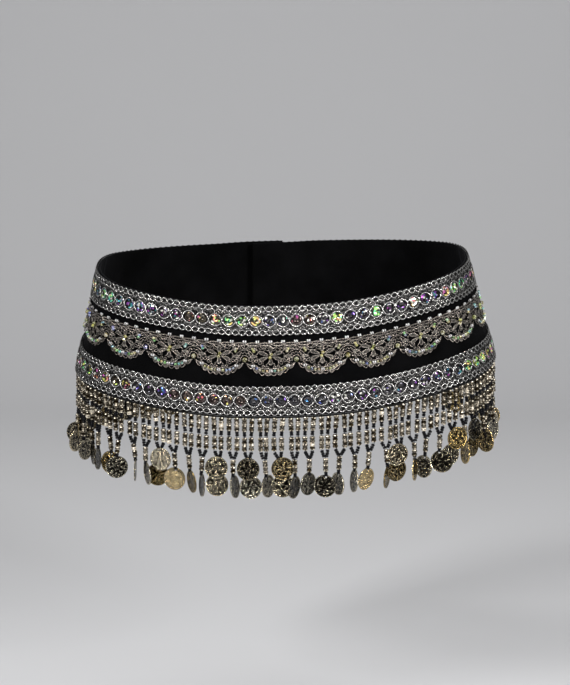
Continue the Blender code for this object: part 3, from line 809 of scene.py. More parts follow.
def rounded_section(high, low, wall, lift=0.0, edge_points=5, face_points=14):
    """A wall's outline: down its face, round the lower edge, up its back, round the top edge.

    The edges are half circles. Returns ways down the band and heights over it.
    """
    radius = wall / 2.0
    turns = np.linspace(0.0, math.pi, edge_points + 2)[1:-1]
    face = np.linspace(high + radius, low - radius, face_points)
    downs = [face, low - radius + radius * np.sin(turns), face[::-1], high + radius - radius * np.sin(turns)]
    outs = [
        np.zeros(face_points),
        -radius + radius * np.cos(turns),
        np.full(face_points, -wall),
        -radius - radius * np.cos(turns),
    ]
    return np.concatenate(downs), np.concatenate(outs) + lift


VELVET_PIECES = ("velvet_front", "velvet_back_right", "velvet_back_left")
# the puckers' slow waves: radians in a metre, where each starts and its weight
PUCKERS = ((95.0, 0.6, 1.0), (161.0, 2.1, 0.7), (253.0, 0.0, 0.5))
PUCKER_DEPTH = 0.00012
PUCKER_LEVEL = 1.2
# how deep a panel's end turns in, over what length, and half the angle between two panels
SEAM_DIP = 0.0006
SEAM_REACH = 0.0012
HALF_SEAM_GAP = math.radians(0.004)


def velvet_panel(form, name, first, last, material, columns):
    """A panel: the band's face with soft puckers along the trims, swept round as a closed outline.

    The puckers are sums of a few slow sines of the place along, strongest between the trims. The
    two ends of a panel turn in a little, as a seam does.
    """
    band = form.band
    downs, outs = rounded_section(0.0, band.height, band.wall)
    turns = np.linspace(first, last, columns)
    place = form.place_at(np.clip(turns, form.lap.flap_edge, form.lap.under_line), band.height / 2.0)
    slow = sum(weight * np.sin(place * rate + start) for rate, start, weight in PUCKERS)
    depth = np.sin(math.pi * downs / band.height) ** 2
    pucker = -PUCKER_DEPTH * (PUCKER_LEVEL + slow)[:, None] * depth[None, :]
    from_end = np.minimum(place - place[0], place[-1] - place)
    seam = -SEAM_DIP * np.exp(-from_end / SEAM_REACH)
    points = form.points(turns[:, None], downs[None, :], outs[None, :] + pucker + seam[:, None])
    return Shape().add(points).build(name, material, "velvet")


class HIPBELT_OT_velvet_band(bpy.types.Operator):
    """Three velvet panels: the band's face carried round the hips as a rounded wall"""

    bl_idname = "hipbelt.velvet_band"
    bl_label = "Velvet Band"

    def execute(self, context):
        settings = context.scene.hip_belt
        form = BandForm(settings)
        band, lap = settings.band, settings.lap
        material = velvet_material(settings.finishes)
        row = band.height / 2.0
        # node, first angle, last angle, columns
        panels = (
            ("front_panel", -band.seam + HALF_SEAM_GAP, band.seam - HALF_SEAM_GAP, 200),
            ("back_panel_right", lap.flap_edge, -band.seam - HALF_SEAM_GAP, 90),
            ("back_panel_left", band.seam + HALF_SEAM_GAP, lap.under_end, 110),
        )
        for (node, first, last, columns), name in zip(panels, VELVET_PIECES):
            panel = velvet_panel(form, name, first, last, material, columns)
            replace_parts(panel, node)
            ends = form.place_at(np.clip([first, last], lap.flap_edge, lap.under_line), row)
        return {"FINISHED"}


# ---- Braids


def braid_rows(context):
    """The two braids: names, nodes, how far down each lies and where its middle sequin is."""
    braid = context.scene.hip_belt.braid
    return (
        ("top", "top_braid", braid.top_down, braid.top_offset),
        ("lower", "lower_braid", braid.low_down, braid.low_offset),
    )


def rings_round(form, row, pitch, offset):
    """Whole rings on a line all the way round, and their phase with a ring centred at an offset."""
    whole = form.round_length(row)
    rings = round(whole / pitch)
    middle = rings * (form.place_at(0.0, row) + offset) / whole
    return rings, (0.5 - middle) % 1.0


def wave(turn, power):
    """A sine with fuller sides, so that two of them in antiphase make round rings."""
    sine = np.sin(turn)
    return np.sign(sine) * np.abs(sine) ** power


# the braid's tape: inset from the braid's edge, wall, height over the velvet, and the weave's ripple
TAPE_INSET = 0.0009
TAPE_WALL = 0.0009
TAPE_FACE = 0.0013
RIPPLE_DEPTH = 0.00008
RIPPLE_PITCH = 0.0028
TAPE_COLUMNS = 420
# a chain cord: sides, flatness, and its climb over the other cord as a share of its width
CORD_SIDES = 6
CORD_FLATNESS = 0.85
CORD_CLIMB = 0.45
# height over the velvet, points in half a wave and fullness of the wave
EDGE_CHAIN = (0.0019, 7, 0.7)
RING_CHAIN = (0.0022, 16, 0.58)
# from the braid's middle to a zigzag; its swing, pitch, half width and height
ZIGZAG_AWAY = 0.0066
ZIGZAG = (0.0008, 0.0026, 0.00024, 0.0016)
ZIGZAG_FLATNESS = 0.7
ZIGZAG_SIDES = 5


def braid_ground(form, top, width):
    """The braid's tape: a thin rounded wall that ripples along as a weave does, by a sine."""
    high, low = top + TAPE_INSET, top + width - TAPE_INSET
    downs, outs = rounded_section(high, low, TAPE_WALL, TAPE_FACE, edge_points=3, face_points=12)
    row = top + width / 2.0
    places = np.linspace(0.0, form.round_length(row), TAPE_COLUMNS)
    turns = form.turns_at(places, row)
    ripple = RIPPLE_DEPTH * np.sin(places * TURN / RIPPLE_PITCH)
    return form.points(turns[:, None], downs[None, :], outs[None, :] + ripple[:, None])


def chain_cords(form, row, centre, swing, rings, half_width, phase, chain):
    """Two cords in antiphase about a line, each over the other in turn at the crossings."""
    out, steps, power = chain
    share = np.linspace(0.0, 1.0, rings * steps + 1)
    turn = math.pi * (rings * share + phase)
    place = form.round_length(row) * share
    half_height = half_width * CORD_FLATNESS
    cords = []
    for side in (1.0, -1.0):
        down = centre + side * swing * wave(turn, power)
        height = out + side * CORD_CLIMB * half_width * np.cos(turn)
        cords.append(band_cord(form, place, down, height, half_width, half_height, CORD_SIDES, row))
    return np.stack(cords)


def zigzag_cord(form, row, centre):
    """A zigzag cord: a triangle wave about a line."""
    swing, pitch, half_width, out = ZIGZAG
    whole = form.round_length(row)
    teeth = round(whole / pitch)
    index = np.arange(2 * teeth + 1)
    place = whole * index / (2 * teeth)
    down = centre + swing * np.where(index % 2, 1.0, -1.0)
    return band_cord(form, place, down, out, half_width, half_width * ZIGZAG_FLATNESS, ZIGZAG_SIDES, row)


class HIPBELT_OT_braids(bpy.types.Operator):
    """Ground, edge chains, zigzags and ring cords of the two braids, as tubes along sine paths"""

    bl_idname = "hipbelt.braids"
    bl_label = "Braids"

    def execute(self, context):
        settings = context.scene.hip_belt
        form = BandForm(settings)
        braid = settings.braid
        ground = tape_material(settings.finishes)
        silver = settings.finishes.silver
        silver = twisted_material("silver_cord", silver, 0.22, turns=0.45, dark=0.25, crown=0.08)
        for name, node, top, offset in braid_rows(context):
            row = top + braid.width / 2.0
            tape = Shape().add(braid_ground(form, top, braid.width))
            tape = tape.build(f"{name}_braid_ground", ground, "sequin_braid")
            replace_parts(tape, node)
            flat = (braid.width - 2.0 * TAPE_INSET, form.round_length(row))
            edges = Shape()
            rings, phase = rings_round(form, row, braid.edge_pitch, offset)
            for centre in (top + braid.edge_centre, top + braid.width - braid.edge_centre):
                edges.add(chain_cords(
                    form, row, centre, braid.edge_swing, rings, braid.edge_cord, phase, EDGE_CHAIN
                ))
            edges.build(f"{name}_braid_edge_chains", silver, "sequin_braid")
            middle = Shape()
            rings, phase = rings_round(form, row, braid.ring_pitch, offset)
            middle.add(chain_cords(
                form, row, row, braid.ring_swing, rings, braid.ring_cord, phase, RING_CHAIN
            ))
            for centre in (row - ZIGZAG_AWAY, row + ZIGZAG_AWAY):
                middle.add(zigzag_cord(form, row, centre))
            middle.build(f"{name}_braid_rings", silver, "sequin_braid")
        return {"FINISHED"}


# place from the front centre as a share of half the round, hue, share of facets painted as glints
TOP_GLOW = (
    (-0.60, 0.68, 0.08), (-0.52, 0.03, 0.16), (-0.48, 0.55, 0.22), (-0.44, 0.22, 0.42),
    (-0.40, 0.68, 0.30), (-0.36, 0.42, 0.30), (-0.31, 0.60, 0.26), (-0.27, 0.64, 0.24),
    (-0.21, 0.76, 0.14), (-0.17, 0.10, 0.12), (-0.12, 0.09, 0.22), (-0.09, 0.28, 0.22),
    (-0.05, 0.15, 0.30), (-0.01, 0.62, 0.07), (0.03, 0.03, 0.06), (0.07, 0.66, 0.08),
    (0.10, 0.20, 0.34), (0.14, 0.74, 0.08), (0.17, 0.28, 0.42), (0.21, 0.72, 0.10),
    (0.24, 0.13, 0.34), (0.28, 0.66, 0.14), (0.31, 0.12, 0.26), (0.35, 0.40, 0.30),
    (0.39, 0.74, 0.14), (0.43, 0.08, 0.20), (0.48, 0.70, 0.34), (0.54, 0.66, 0.10),
)
LOWER_GLOW = (
    (-0.60, 0.70, 0.05), (-0.42, 0.08, 0.14), (-0.37, 0.26, 0.24), (-0.33, 0.07, 0.20),
    (-0.28, 0.08, 0.10), (-0.24, 0.72, 0.08), (-0.16, 0.03, 0.05), (-0.10, 0.05, 0.06),
    (-0.03, 0.62, 0.04), (0.05, 0.64, 0.06), (0.10, 0.62, 0.12), (0.16, 0.62, 0.07),
    (0.24, 0.70, 0.10), (0.30, 0.66, 0.20), (0.34, 0.24, 0.36), (0.38, 0.20, 0.40),
    (0.42, 0.12, 0.34), (0.46, 0.42, 0.32), (0.50, 0.03, 0.28), (0.54, 0.62, 0.26),
    (0.60, 0.70, 0.06),
)


def bright_colour(hue, saturation, value):
    """Colours of a colour wheel: each channel a clipped triangle wave of the hue."""
    wheel = np.abs(((hue[:, None] + np.array([0.0, 2.0 / 3.0, 1.0 / 3.0])) % 1.0) * 6.0 - 3.0) - 1.0
    channels = value[:, None] * (1.0 - saturation[:, None] * (1.0 - np.clip(wheel, 0.0, 1.0)))
    return np.concatenate([channels**2.2, np.ones((len(hue), 1))], axis=1)


SEQUIN_SEEDS = {"top": 23, "lower": 29}
SEQUIN_FACE = 0.0017
SEQUIN_SIDES = 16
SEQUIN_LEAN = 0.05
HUE_SPREAD = 0.03
# spread of each sequin's share of facets painted as glints
PAINTED_GLINT_SPREAD = (1.2, 2.1)
# a sequin is warm near this hue, and cool past a distance from it, with a blur
WARM_MIDDLE = 0.24
WARM_REACH = 0.42
WARM_BLUR = 0.3
# a warm sequin's strength and a cool one's brightness, and what the other has more
LEAST_STRENGTH, MORE_STRENGTH = 0.62, 0.14
LEAST_BRIGHTNESS, MORE_BRIGHTNESS = 0.62, 0.38


class HIPBELT_OT_sequins(bpy.types.Operator):
    """Cupped sequins, one in each ring of the braids, as turned profiles on the band"""

    bl_idname = "hipbelt.sequins"
    bl_label = "Sequins"

    def execute(self, context):
        settings = context.scene.hip_belt
        form = BandForm(settings)
        braid = settings.braid
        film = sequin_material()
        template = self.template(braid.sequin_hole, braid.sequin_radius)
        for (name, _, top, offset), glows in zip(braid_rows(context), (TOP_GLOW, LOWER_GLOW)):
            dice = np.random.default_rng(SEQUIN_SEEDS[name])
            row = top + braid.width / 2.0
            whole = form.round_length(row)
            rings, phase = rings_round(form, row, braid.ring_pitch, offset)
            place = (np.arange(rings + 1) + 0.5 - phase) / rings * whole
            place = place[(place > braid.sequin_radius) & (place < whole - braid.sequin_radius)]
            roll = dice.uniform(0.0, TURN, len(place))
            centre, axes = frames_on_band(form, place, row, SEQUIN_FACE, row, roll)
            lean = dice.normal(0.0, SEQUIN_LEAN, (len(place), 2, 1))
            axes[:, 2] = unit(axes[:, 2] + lean[:, 0] * axes[:, 0] + lean[:, 1] * axes[:, 1])
            axes[:, 0] = unit(np.cross(axes[:, 1], axes[:, 2]))
            axes[:, 1] = np.cross(axes[:, 2], axes[:, 0])
            share = (place - form.place_at(0.0, row)) / (whole / 2.0)
            glow, spark = self.colours(share, glows, dice)
            sequins = Shape().add(placed(template, centre, axes), closed_along=True, glow=glow, spark=spark)
            sequins.build(f"{name}_braid_sequins", film, "sequin_braid")
        return {"FINISHED"}

    def template(self, hole, rim):
        """A thin cup with a hole, as a closed profile of radius and height turned about its axis."""
        profile = (
            (hole, 0.0), (rim * 0.55, -0.00018), (rim, 0.0004), (rim * 0.98, 0.00055),
            (rim * 0.55, 0.00002), (hole, 0.00018),
        )
        return turned(profile, SEQUIN_SIDES)

    def colours(self, share, glows, dice):
        """Each sequin's colour and share of facets painted as glints, from the nearest entry of a glow table.
        """
        where, hues, chances = np.array(glows).T
        nearest = np.abs(share[:, None] - where).argmin(axis=1)
        hue = hues[nearest] + dice.normal(0.0, HUE_SPREAD, len(share))
        spark = chances[nearest] * dice.uniform(*PAINTED_GLINT_SPREAD, len(share))
        warm = smooth_step((WARM_REACH - np.abs(hue % 1.0 - WARM_MIDDLE)) / WARM_BLUR)
        strength = LEAST_STRENGTH + MORE_STRENGTH * (1.0 - warm)
        return bright_colour(hue % 1.0, strength, LEAST_BRIGHTNESS + MORE_BRIGHTNESS * warm), spark


# ---- Lace


def scallop_starts(form, lace, row):
    """Where each scallop begins along the lace, the width of one and the whole length."""
    whole = form.round_length(row)
    pitch = whole / lace.scallops
    start = (form.place_at(0.0, row) + lace.phase) % pitch - pitch
    return start + np.arange(lace.scallops + 2) * pitch, pitch, whole


def rim(lace, share):
    """Depth of the lace's lower edge: its valley plus a smooth step of a sine over a scallop."""
    return lace.valley + lace.drop * smooth_step(np.abs(np.sin(math.pi * share)))


# half width, half height and height over the velvet of each kind of thread, in metres
THREADS = {
    "edge_ring": (0.00055, 0.0005, 0.0013),
    "edge_lacing": (0.00028, 0.0003, 0.0010),
    "petal": (0.00048, 0.00044, 0.0014),
    "petal_filling": (0.000384, 0.000352, 0.0011),
    "tie": (0.00042, 0.0004, 0.0012),
    "arc": (0.00045, 0.00042, 0.0013),
    "toothed_arc": (0.00036, 0.00036, 0.0012),
    "stem": (0.0005, 0.0004, 0.0012),
    "cross_tie": (0.00045, 0.0004, 0.0012),
    "inner_rim": (0.00045, 0.00042, 0.0012),
    "rim": (0.00048, 0.00042, 0.0012),
    "rim_lacing": (0.00036, 0.00036, 0.0011),
    "picot": (0.00046, 0.0004, 0.0011),
    "picot_filling": (0.00038, 0.00034, 0.0009),
}
THREAD_SIDES = 5
# how near the lace's ends a whole path and a cut one may come, and how little of a cut path may be
# left; the rest is drawn in to a share of its length, and a cord along the lace ends short of it
END_MARGIN = 0.0006
CUT_MARGIN = 0.0002
LEAST_LEFT = 0.1
CUT_SHARE = 0.002
RUN_MARGIN = 0.0007
# a petal's points, the part of it that is filled, its filling's width, and its taper
PETAL_POINTS = 14
FILLED_PART = (0.10, 0.93)
FILLED_WIDTH = 1.9
TAPER_START, TAPER_GROWTH = 0.45, 0.75
ARC_POINTS = 16


class LaceStrokes:
    """Flat threads drawn once for a scallop and laid on each scallop of the lace."""

    def __init__(self, form, lace):
        self.form = form
        self.lace = lace
        self.row = lace.top_down + lace.valley / 2.0
        self.starts, self.pitch, self.length = scallop_starts(form, lace, self.row)
        self.shape = Shape()
        self.filling = Shape()

    def cords(self, place, down, thread, closed=False):
        """Cords of one kind of thread, from places along the lace and ways down the band."""
        half_width, half_height, out = THREADS[thread]
        return band_cord(
            self.form, place, down, out, half_width, half_height, THREAD_SIDES, self.row, closed
        )

    def lay(self, x, y, thread, closed=False, filling=False, cut=False):
        """A path in one scallop, x from its left valley and y from the lace's top, on them all.

        Where the lace ends, a path that may be cut goes on down the end in a straight line.
        """
        place = self.starts[:, None] + x[None, :]
        if cut:
            held = np.clip(place, END_MARGIN + CUT_MARGIN, self.length - END_MARGIN - CUT_MARGIN)
            inside = (held == place).mean(axis=1) > LEAST_LEFT
            place = held + (place - held) * CUT_SHARE
        else:
            inside = (place.min(axis=1) > END_MARGIN) & (place.max(axis=1) < self.length - END_MARGIN)
        rings = self.cords(place[inside], (self.lace.top_down + y)[None, :], thread, closed)
        (self.filling if filling else self.shape).add(rings, closed_along=closed)

    def run(self, offset, swing, per_scallop, thread, steps, power, side):
        """A cord that runs the whole length, waving about a line."""
        waves = per_scallop * self.lace.scallops
        share = np.linspace(0.0, 1.0, waves * steps + 1)
        place = RUN_MARGIN + (self.length - 2.0 * RUN_MARGIN) * share
        down = self.lace.top_down + offset + side * swing * wave(math.pi * waves * share, power)
        self.shape.add(self.cords(place, down, thread))

    def arch(self, inset, first, last, points, thread, swing, waves):
        """A cord along the scallop's rim, set in from it, that may wave about its line."""
        share = np.linspace(first, last, points)
        waving = swing * np.sin(math.pi * waves * (share - first) / (last - first))
        self.lay(share * self.pitch, rim(self.lace, share) - inset + waving, thread, cut=True)

    def loop(self, x, y, radius_x, radius_y, thread, points=8):
        """A small ring: an ellipse about a middle."""
        turn = TURN * np.arange(points) / points
        self.lay(x + radius_x * np.cos(turn), y + radius_y * np.sin(turn), thread, closed=True)

    def petal(self, x, y, turn, start, tip, half, teeth):
        """A petal: a drop-shaped ring that points away from its middle, filled by a zigzag thread."""
        around = TURN * np.arange(PETAL_POINTS) / PETAL_POINTS
        share = (1.0 - np.cos(around)) / 2.0
        self.lay_drop(x, y, turn, start, tip, half * np.sin(around), share, "petal", True)
        share = np.linspace(*FILLED_PART, teeth)
        side = np.where(np.arange(teeth) % 2, FILLED_WIDTH, -FILLED_WIDTH)
        side = side * half * np.sqrt(share * (1.0 - share))
        self.lay_drop(x, y, turn, start, tip, side, share, "petal_filling", False)

    def lay_drop(self, x, y, turn, start, tip, side, share, thread, outline):
        """A path on a drop: how far along it, and how far to the side before the drop's taper."""
        across, along = (math.cos(turn), math.sin(turn)), (math.sin(turn), -math.cos(turn))
        reach = start + (tip - start) * share
        side = side * (TAPER_START + TAPER_GROWTH * share)
        x = x + reach * along[0] + side * across[0]
        y = y + reach * along[1] + side * across[1]
        self.lay(x, y, thread, closed=outline, filling=not outline)

    def bar(self, x0, y0, x1, y1, thread):
        """A short straight tie."""
        share = np.linspace(0.0, 1.0, 3)
        self.lay(x0 + (x1 - x0) * share, y0 + (y1 - y0) * share, thread)


# cords of the upper edge: way down, swing, waves in a scallop, thread, points in a wave, fullness of
# the wave, side it starts to
EDGE_CORDS = (
    (0.0021, 0.0012, 4, "edge_ring", 14, 0.5, 1.0), (0.0021, 0.0012, 4, "edge_ring", 14, 0.5, -1.0),
    (0.0021, 0.0012, 20, "edge_lacing", 2, 1.0, 1.0), (0.0047, 0.0012, 11, "tie", 6, 0.8, 1.0),
)
# a flower's petals and leaves: angle from straight up in degrees, start and tip from the middle and
# half width in millimetres, and turns of the thread that fills it
PETALS = (
    (0.0, 1.9, 8.3, 1.75, 11), (70.0, 2.0, 10.6, 1.55, 13), (110.5, 2.0, 10.2, 1.5, 12),
    (180.0, 1.9, 7.7, 1.85, 11), (249.5, 2.0, 10.2, 1.5, 12), (290.0, 2.0, 10.6, 1.55, 13),
    (91.5, 11.2, 17.0, 1.25, 11), (268.5, 11.2, 17.0, 1.25, 11),
    (66.0, 12.0, 16.4, 1.0, 8), (294.0, 12.0, 16.4, 1.0, 8),
)
# ties beside a flower: from and to, across from its middle and down from it, in millimetres
TIES = (
    (1.7, -6.6, 5.0, -7.8), (5.0, -7.8, 8.2, -5.2), (8.2, -5.2, 10.4, -7.9), (9.6, -4.0, 12.0, -5.0),
    (1.7, 5.6, 4.0, 7.6), (10.0, -3.4, 12.2, -0.8), (9.2, 3.6, 12.4, 0.8), (16.4, -0.4, 19.4, -3.4),
    (6.6, 3.6, 6.4, 7.2), (12.4, 5.4, 15.6, 1.2), (1.4, -4.2, 4.4, -5.0), (4.4, -5.0, 6.4, -3.6),
    (4.4, -5.0, 5.0, -7.6),
)
# rings beside a flower: across from its middle, down from it, two radii, in millimetres
SIDE_RINGS = (
    (8.9, 5.9, 1.35, 1.25), (11.9, 4.0, 1.3, 1.2), (14.7, 4.2, 1.2, 1.1), (17.0, 2.8, 1.2, 1.7),
    (3.3, 9.4, 1.25, 0.9), (6.4, 8.7, 1.1, 0.85), (17.2, -6.8, 1.3, 1.0), (12.6, -7.6, 1.2, 0.8),
)
# arcs over a valley's stone: radius in millimetres, half angle in degrees
VALLEY_ARCS = ((3.7, 112.0), (8.3, 66.0))
# the toothed line between them: radius and depth of teeth in millimetres, half angle in degrees,
# teeth in a radian and points
TOOTHED_ARC = (6.0, 0.9, 84.0, 12.0, 37)
# ties over a valley: from and to, across from the valley and down from the lace's top
VALLEY_TIES = ((0.0, 0.0030, 0.0, 0.0068, "stem"), (-0.0036, 0.0062, 0.0036, 0.0062, "cross_tie"))
# cords along the rim: inset, first and last share of the scallop, points, thread, swing, waves
RIM_CORDS = (
    (0.0062, 0.13, 0.87, 34, "inner_rim", 0.0, 0), (0.0029, 0.02, 0.98, 44, "rim", 0.0, 0),
    (0.0045, 0.10, 0.90, 66, "rim_lacing", 0.0013, 15),
)
# picots on the rim: how many, shares of the scallop from first to last, how far in they start and
# out they reach, their fullness, and which are filled, over what part, by a zigzag of two reaches
PICOTS = 8
PICOT_FIRST = 0.04
PICOT_LAST = 0.96
PICOT_SPAN = 0.92
PICOT_INSET = 0.0029
PICOT_REACH = 0.0026
PICOT_FULLNESS = 0.7
FILLED_PICOTS = (1, 3, 5, 7)
FILLED_SPAN = (0.12, 0.88)
FILLING_POINTS = 8
FILLING_REACH = (0.0024, 0.0003)


class HIPBELT_OT_lace(bpy.types.Operator):
    """The scalloped lace: flat metallic threads along flowers, rings, arcs and picots"""

    bl_idname = "hipbelt.lace"
    bl_label = "Lace"

    def execute(self, context):
        settings = context.scene.hip_belt
        lace, colour_of_thread = settings.lace, settings.finishes.lace
        strokes = LaceStrokes(BandForm(settings), lace)
        hard = twisted_material("lace_thread", colour_of_thread, 0.26, turns=0.8, dark=0.16, crown=0.07)
        for cord in EDGE_CORDS:
            strokes.run(*cord)
        self.flowers(strokes, lace)
        self.valleys(strokes, lace)
        self.rims(strokes, lace)
        piece = strokes.shape.build("scallop_lace_threads", hard, "metallic_lace")
        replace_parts(piece, "scallop_lace")
        soft = twisted_material("lace_filling", colour_of_thread, 0.4, turns=0.8, dark=0.35, crown=0.2)
        strokes.filling.build("scallop_lace_filling", soft, "metallic_lace")
        return {"FINISHED"}

    def flowers(self, strokes, lace):
        """Petals, ties and rings of the flower in the middle of each scallop."""
        middle, down = strokes.pitch / 2.0, lace.flower_down
        for turn, start, tip, half, teeth in PETALS:
            strokes.petal(middle, down, math.radians(turn), start * MM, tip * MM, half * MM, teeth)
        for side in (-1.0, 1.0):
            for x0, y0, x1, y1 in TIES:
                strokes.bar(
                    middle + side * x0 * MM, down + y0 * MM, middle + side * x1 * MM, down + y1 * MM, "tie"
                )
            for across, low, radius_x, radius_y in SIDE_RINGS:
                x = middle + side * across * MM
                strokes.loop(x, down + low * MM, radius_x * MM, radius_y * MM, "tie")

    def valleys(self, strokes, lace):
        """Arcs over the stone where two scallops meet, a toothed line between them, and two ties."""
        for radius, half_angle in VALLEY_ARCS:
            turn = np.radians(np.linspace(-half_angle, half_angle, ARC_POINTS))
            x = radius * MM * np.sin(turn)
            y = lace.stone_down - radius * MM * np.cos(turn)
            strokes.lay(x, y, "arc", cut=True)
        middle_radius, tooth, half_angle, teeth, points = TOOTHED_ARC
        turn = np.radians(np.linspace(-half_angle, half_angle, points))
        radius = (middle_radius + tooth * np.cos(turn * teeth)) * MM
        strokes.lay(radius * np.sin(turn), lace.stone_down - radius * np.cos(turn), "toothed_arc")
        for tie in VALLEY_TIES:
            strokes.bar(*tie)

    def rims(self, strokes, lace):
        """Cords along the scallop's edge and the picots outside them, each a bulge of a sine."""
        for cord in RIM_CORDS:
            strokes.arch(*cord)
        share = np.linspace(PICOT_FIRST, PICOT_LAST, 8 * PICOTS + 1)
        turn = math.pi * PICOTS * (share - PICOT_FIRST) / PICOT_SPAN
        bulge = PICOT_REACH * np.abs(np.sin(turn)) ** PICOT_FULLNESS
        strokes.lay(share * strokes.pitch, rim(lace, share) - PICOT_INSET + bulge, "picot", cut=True)
        across = np.linspace(*FILLED_SPAN, FILLING_POINTS)
        zigzag = np.where(np.arange(FILLING_POINTS) % 2, *FILLING_REACH)
        reach = np.sin(math.pi * across) ** PICOT_FULLNESS * zigzag
        for picot in FILLED_PICOTS:
            share = PICOT_FIRST + PICOT_SPAN * (picot + across) / PICOTS
            y = rim(lace, share) - PICOT_INSET + reach
            strokes.lay(share * strokes.pitch, y, "picot_filling", filling=True)


# a seed bead's rings from hole to hole, as shares of its radius and half length: six rings, or five
BEAD_PROFILES = {
    6: ((0.3, -0.86), (0.72, -1.0), (0.98, -0.5), (0.98, 0.5), (0.72, 1.0), (0.3, 0.86)),
    5: ((0.32, -0.9), (0.8, -0.9), (1.0, 0.0), (0.8, 0.9), (0.32, 0.9)),
}
# half a bead's length as a share of its pitch, which leaves a little air
BEAD_FILL = 0.49


def bead_template(radius, pitch, sides, rings):
    """A seed bead: a rounded barrel with a hole, as a closed profile turned about its thread."""
    half = pitch * BEAD_FILL
    return turned([(radius * r, half * z) for r, z in BEAD_PROFILES[rings]], sides)


def stone_template(radius, height):
    """A cut stone in its cup, with eight sides: table, crown, girdle and a closed back."""
    profile = (
        (radius * 0.02, height), (radius * 0.5, height), (radius * 0.86, height * 0.62),
        (radius, height * 0.3), (radius * 0.9, 0.0), (radius * 0.02, 0.0),
    )
    return turned(profile, 8)


LACE_BEAD_SEED = 41
STONE_LIFT = 0.0014
BEAD_LIFT = 0.0019
LACE_BEAD_RADIUS = 0.00105
LACE_BEAD_PITCH = 0.0017
LACE_BEAD_AWAY = 0.00087
LACE_BEAD_MARGIN = 0.0015
# how far from its belt a lace bead carries its painted highlight band
PAINTED_BELT_HIGHLIGHT = ((0.0, 1.0), (0.14, 1.0), (0.3, 0.05))
# square beads along the top, in pairs: shares of a scallop and their way down
TOP_BEADS = ((0.0, 0.25, 0.5, 0.75), -0.0001)
# shares of a scallop with silver pairs or rainbow stones, and how far in from the rim
SILVER_RIM = ((0.165, 0.5, 0.835), 0.0044)
RAINBOW_RIM = ((0.230, 0.290, 0.355, 0.425, 0.575, 0.645, 0.710, 0.770), 0.0043)
BESIDE_FLOWERS = ((0.160, 0.0062), (0.180, 0.0080), (0.842, 0.0064), (0.822, 0.0082))
# a flower's two stones: share of a scallop, and way down from the flower's middle
FLOWER_STONES = ((0.515, -0.0013), (0.487, 0.0014))
# hues to draw from, with those of the rim's stones farther round than FRONT_REACH
RIM_HUES = (0.15, 0.16, 0.13, 0.17, 0.11, 0.15, 0.16, 0.14, 0.12, 0.15, 0.16, 0.47, 0.62)
SIDE_HUES = (0.16, 0.50, 0.62, 0.33, 0.15, 0.54, 0.30, 0.66, 0.13)
FLOWER_HUES = (0.16, 0.15, 0.17)
VALLEY_HUES = (0.16, 0.15, 0.69, 0.17, 0.14, 0.16)
FRONT_REACH = 0.085
YELLOW_END = 0.25
STONE_HUE_SPREAD = 0.015


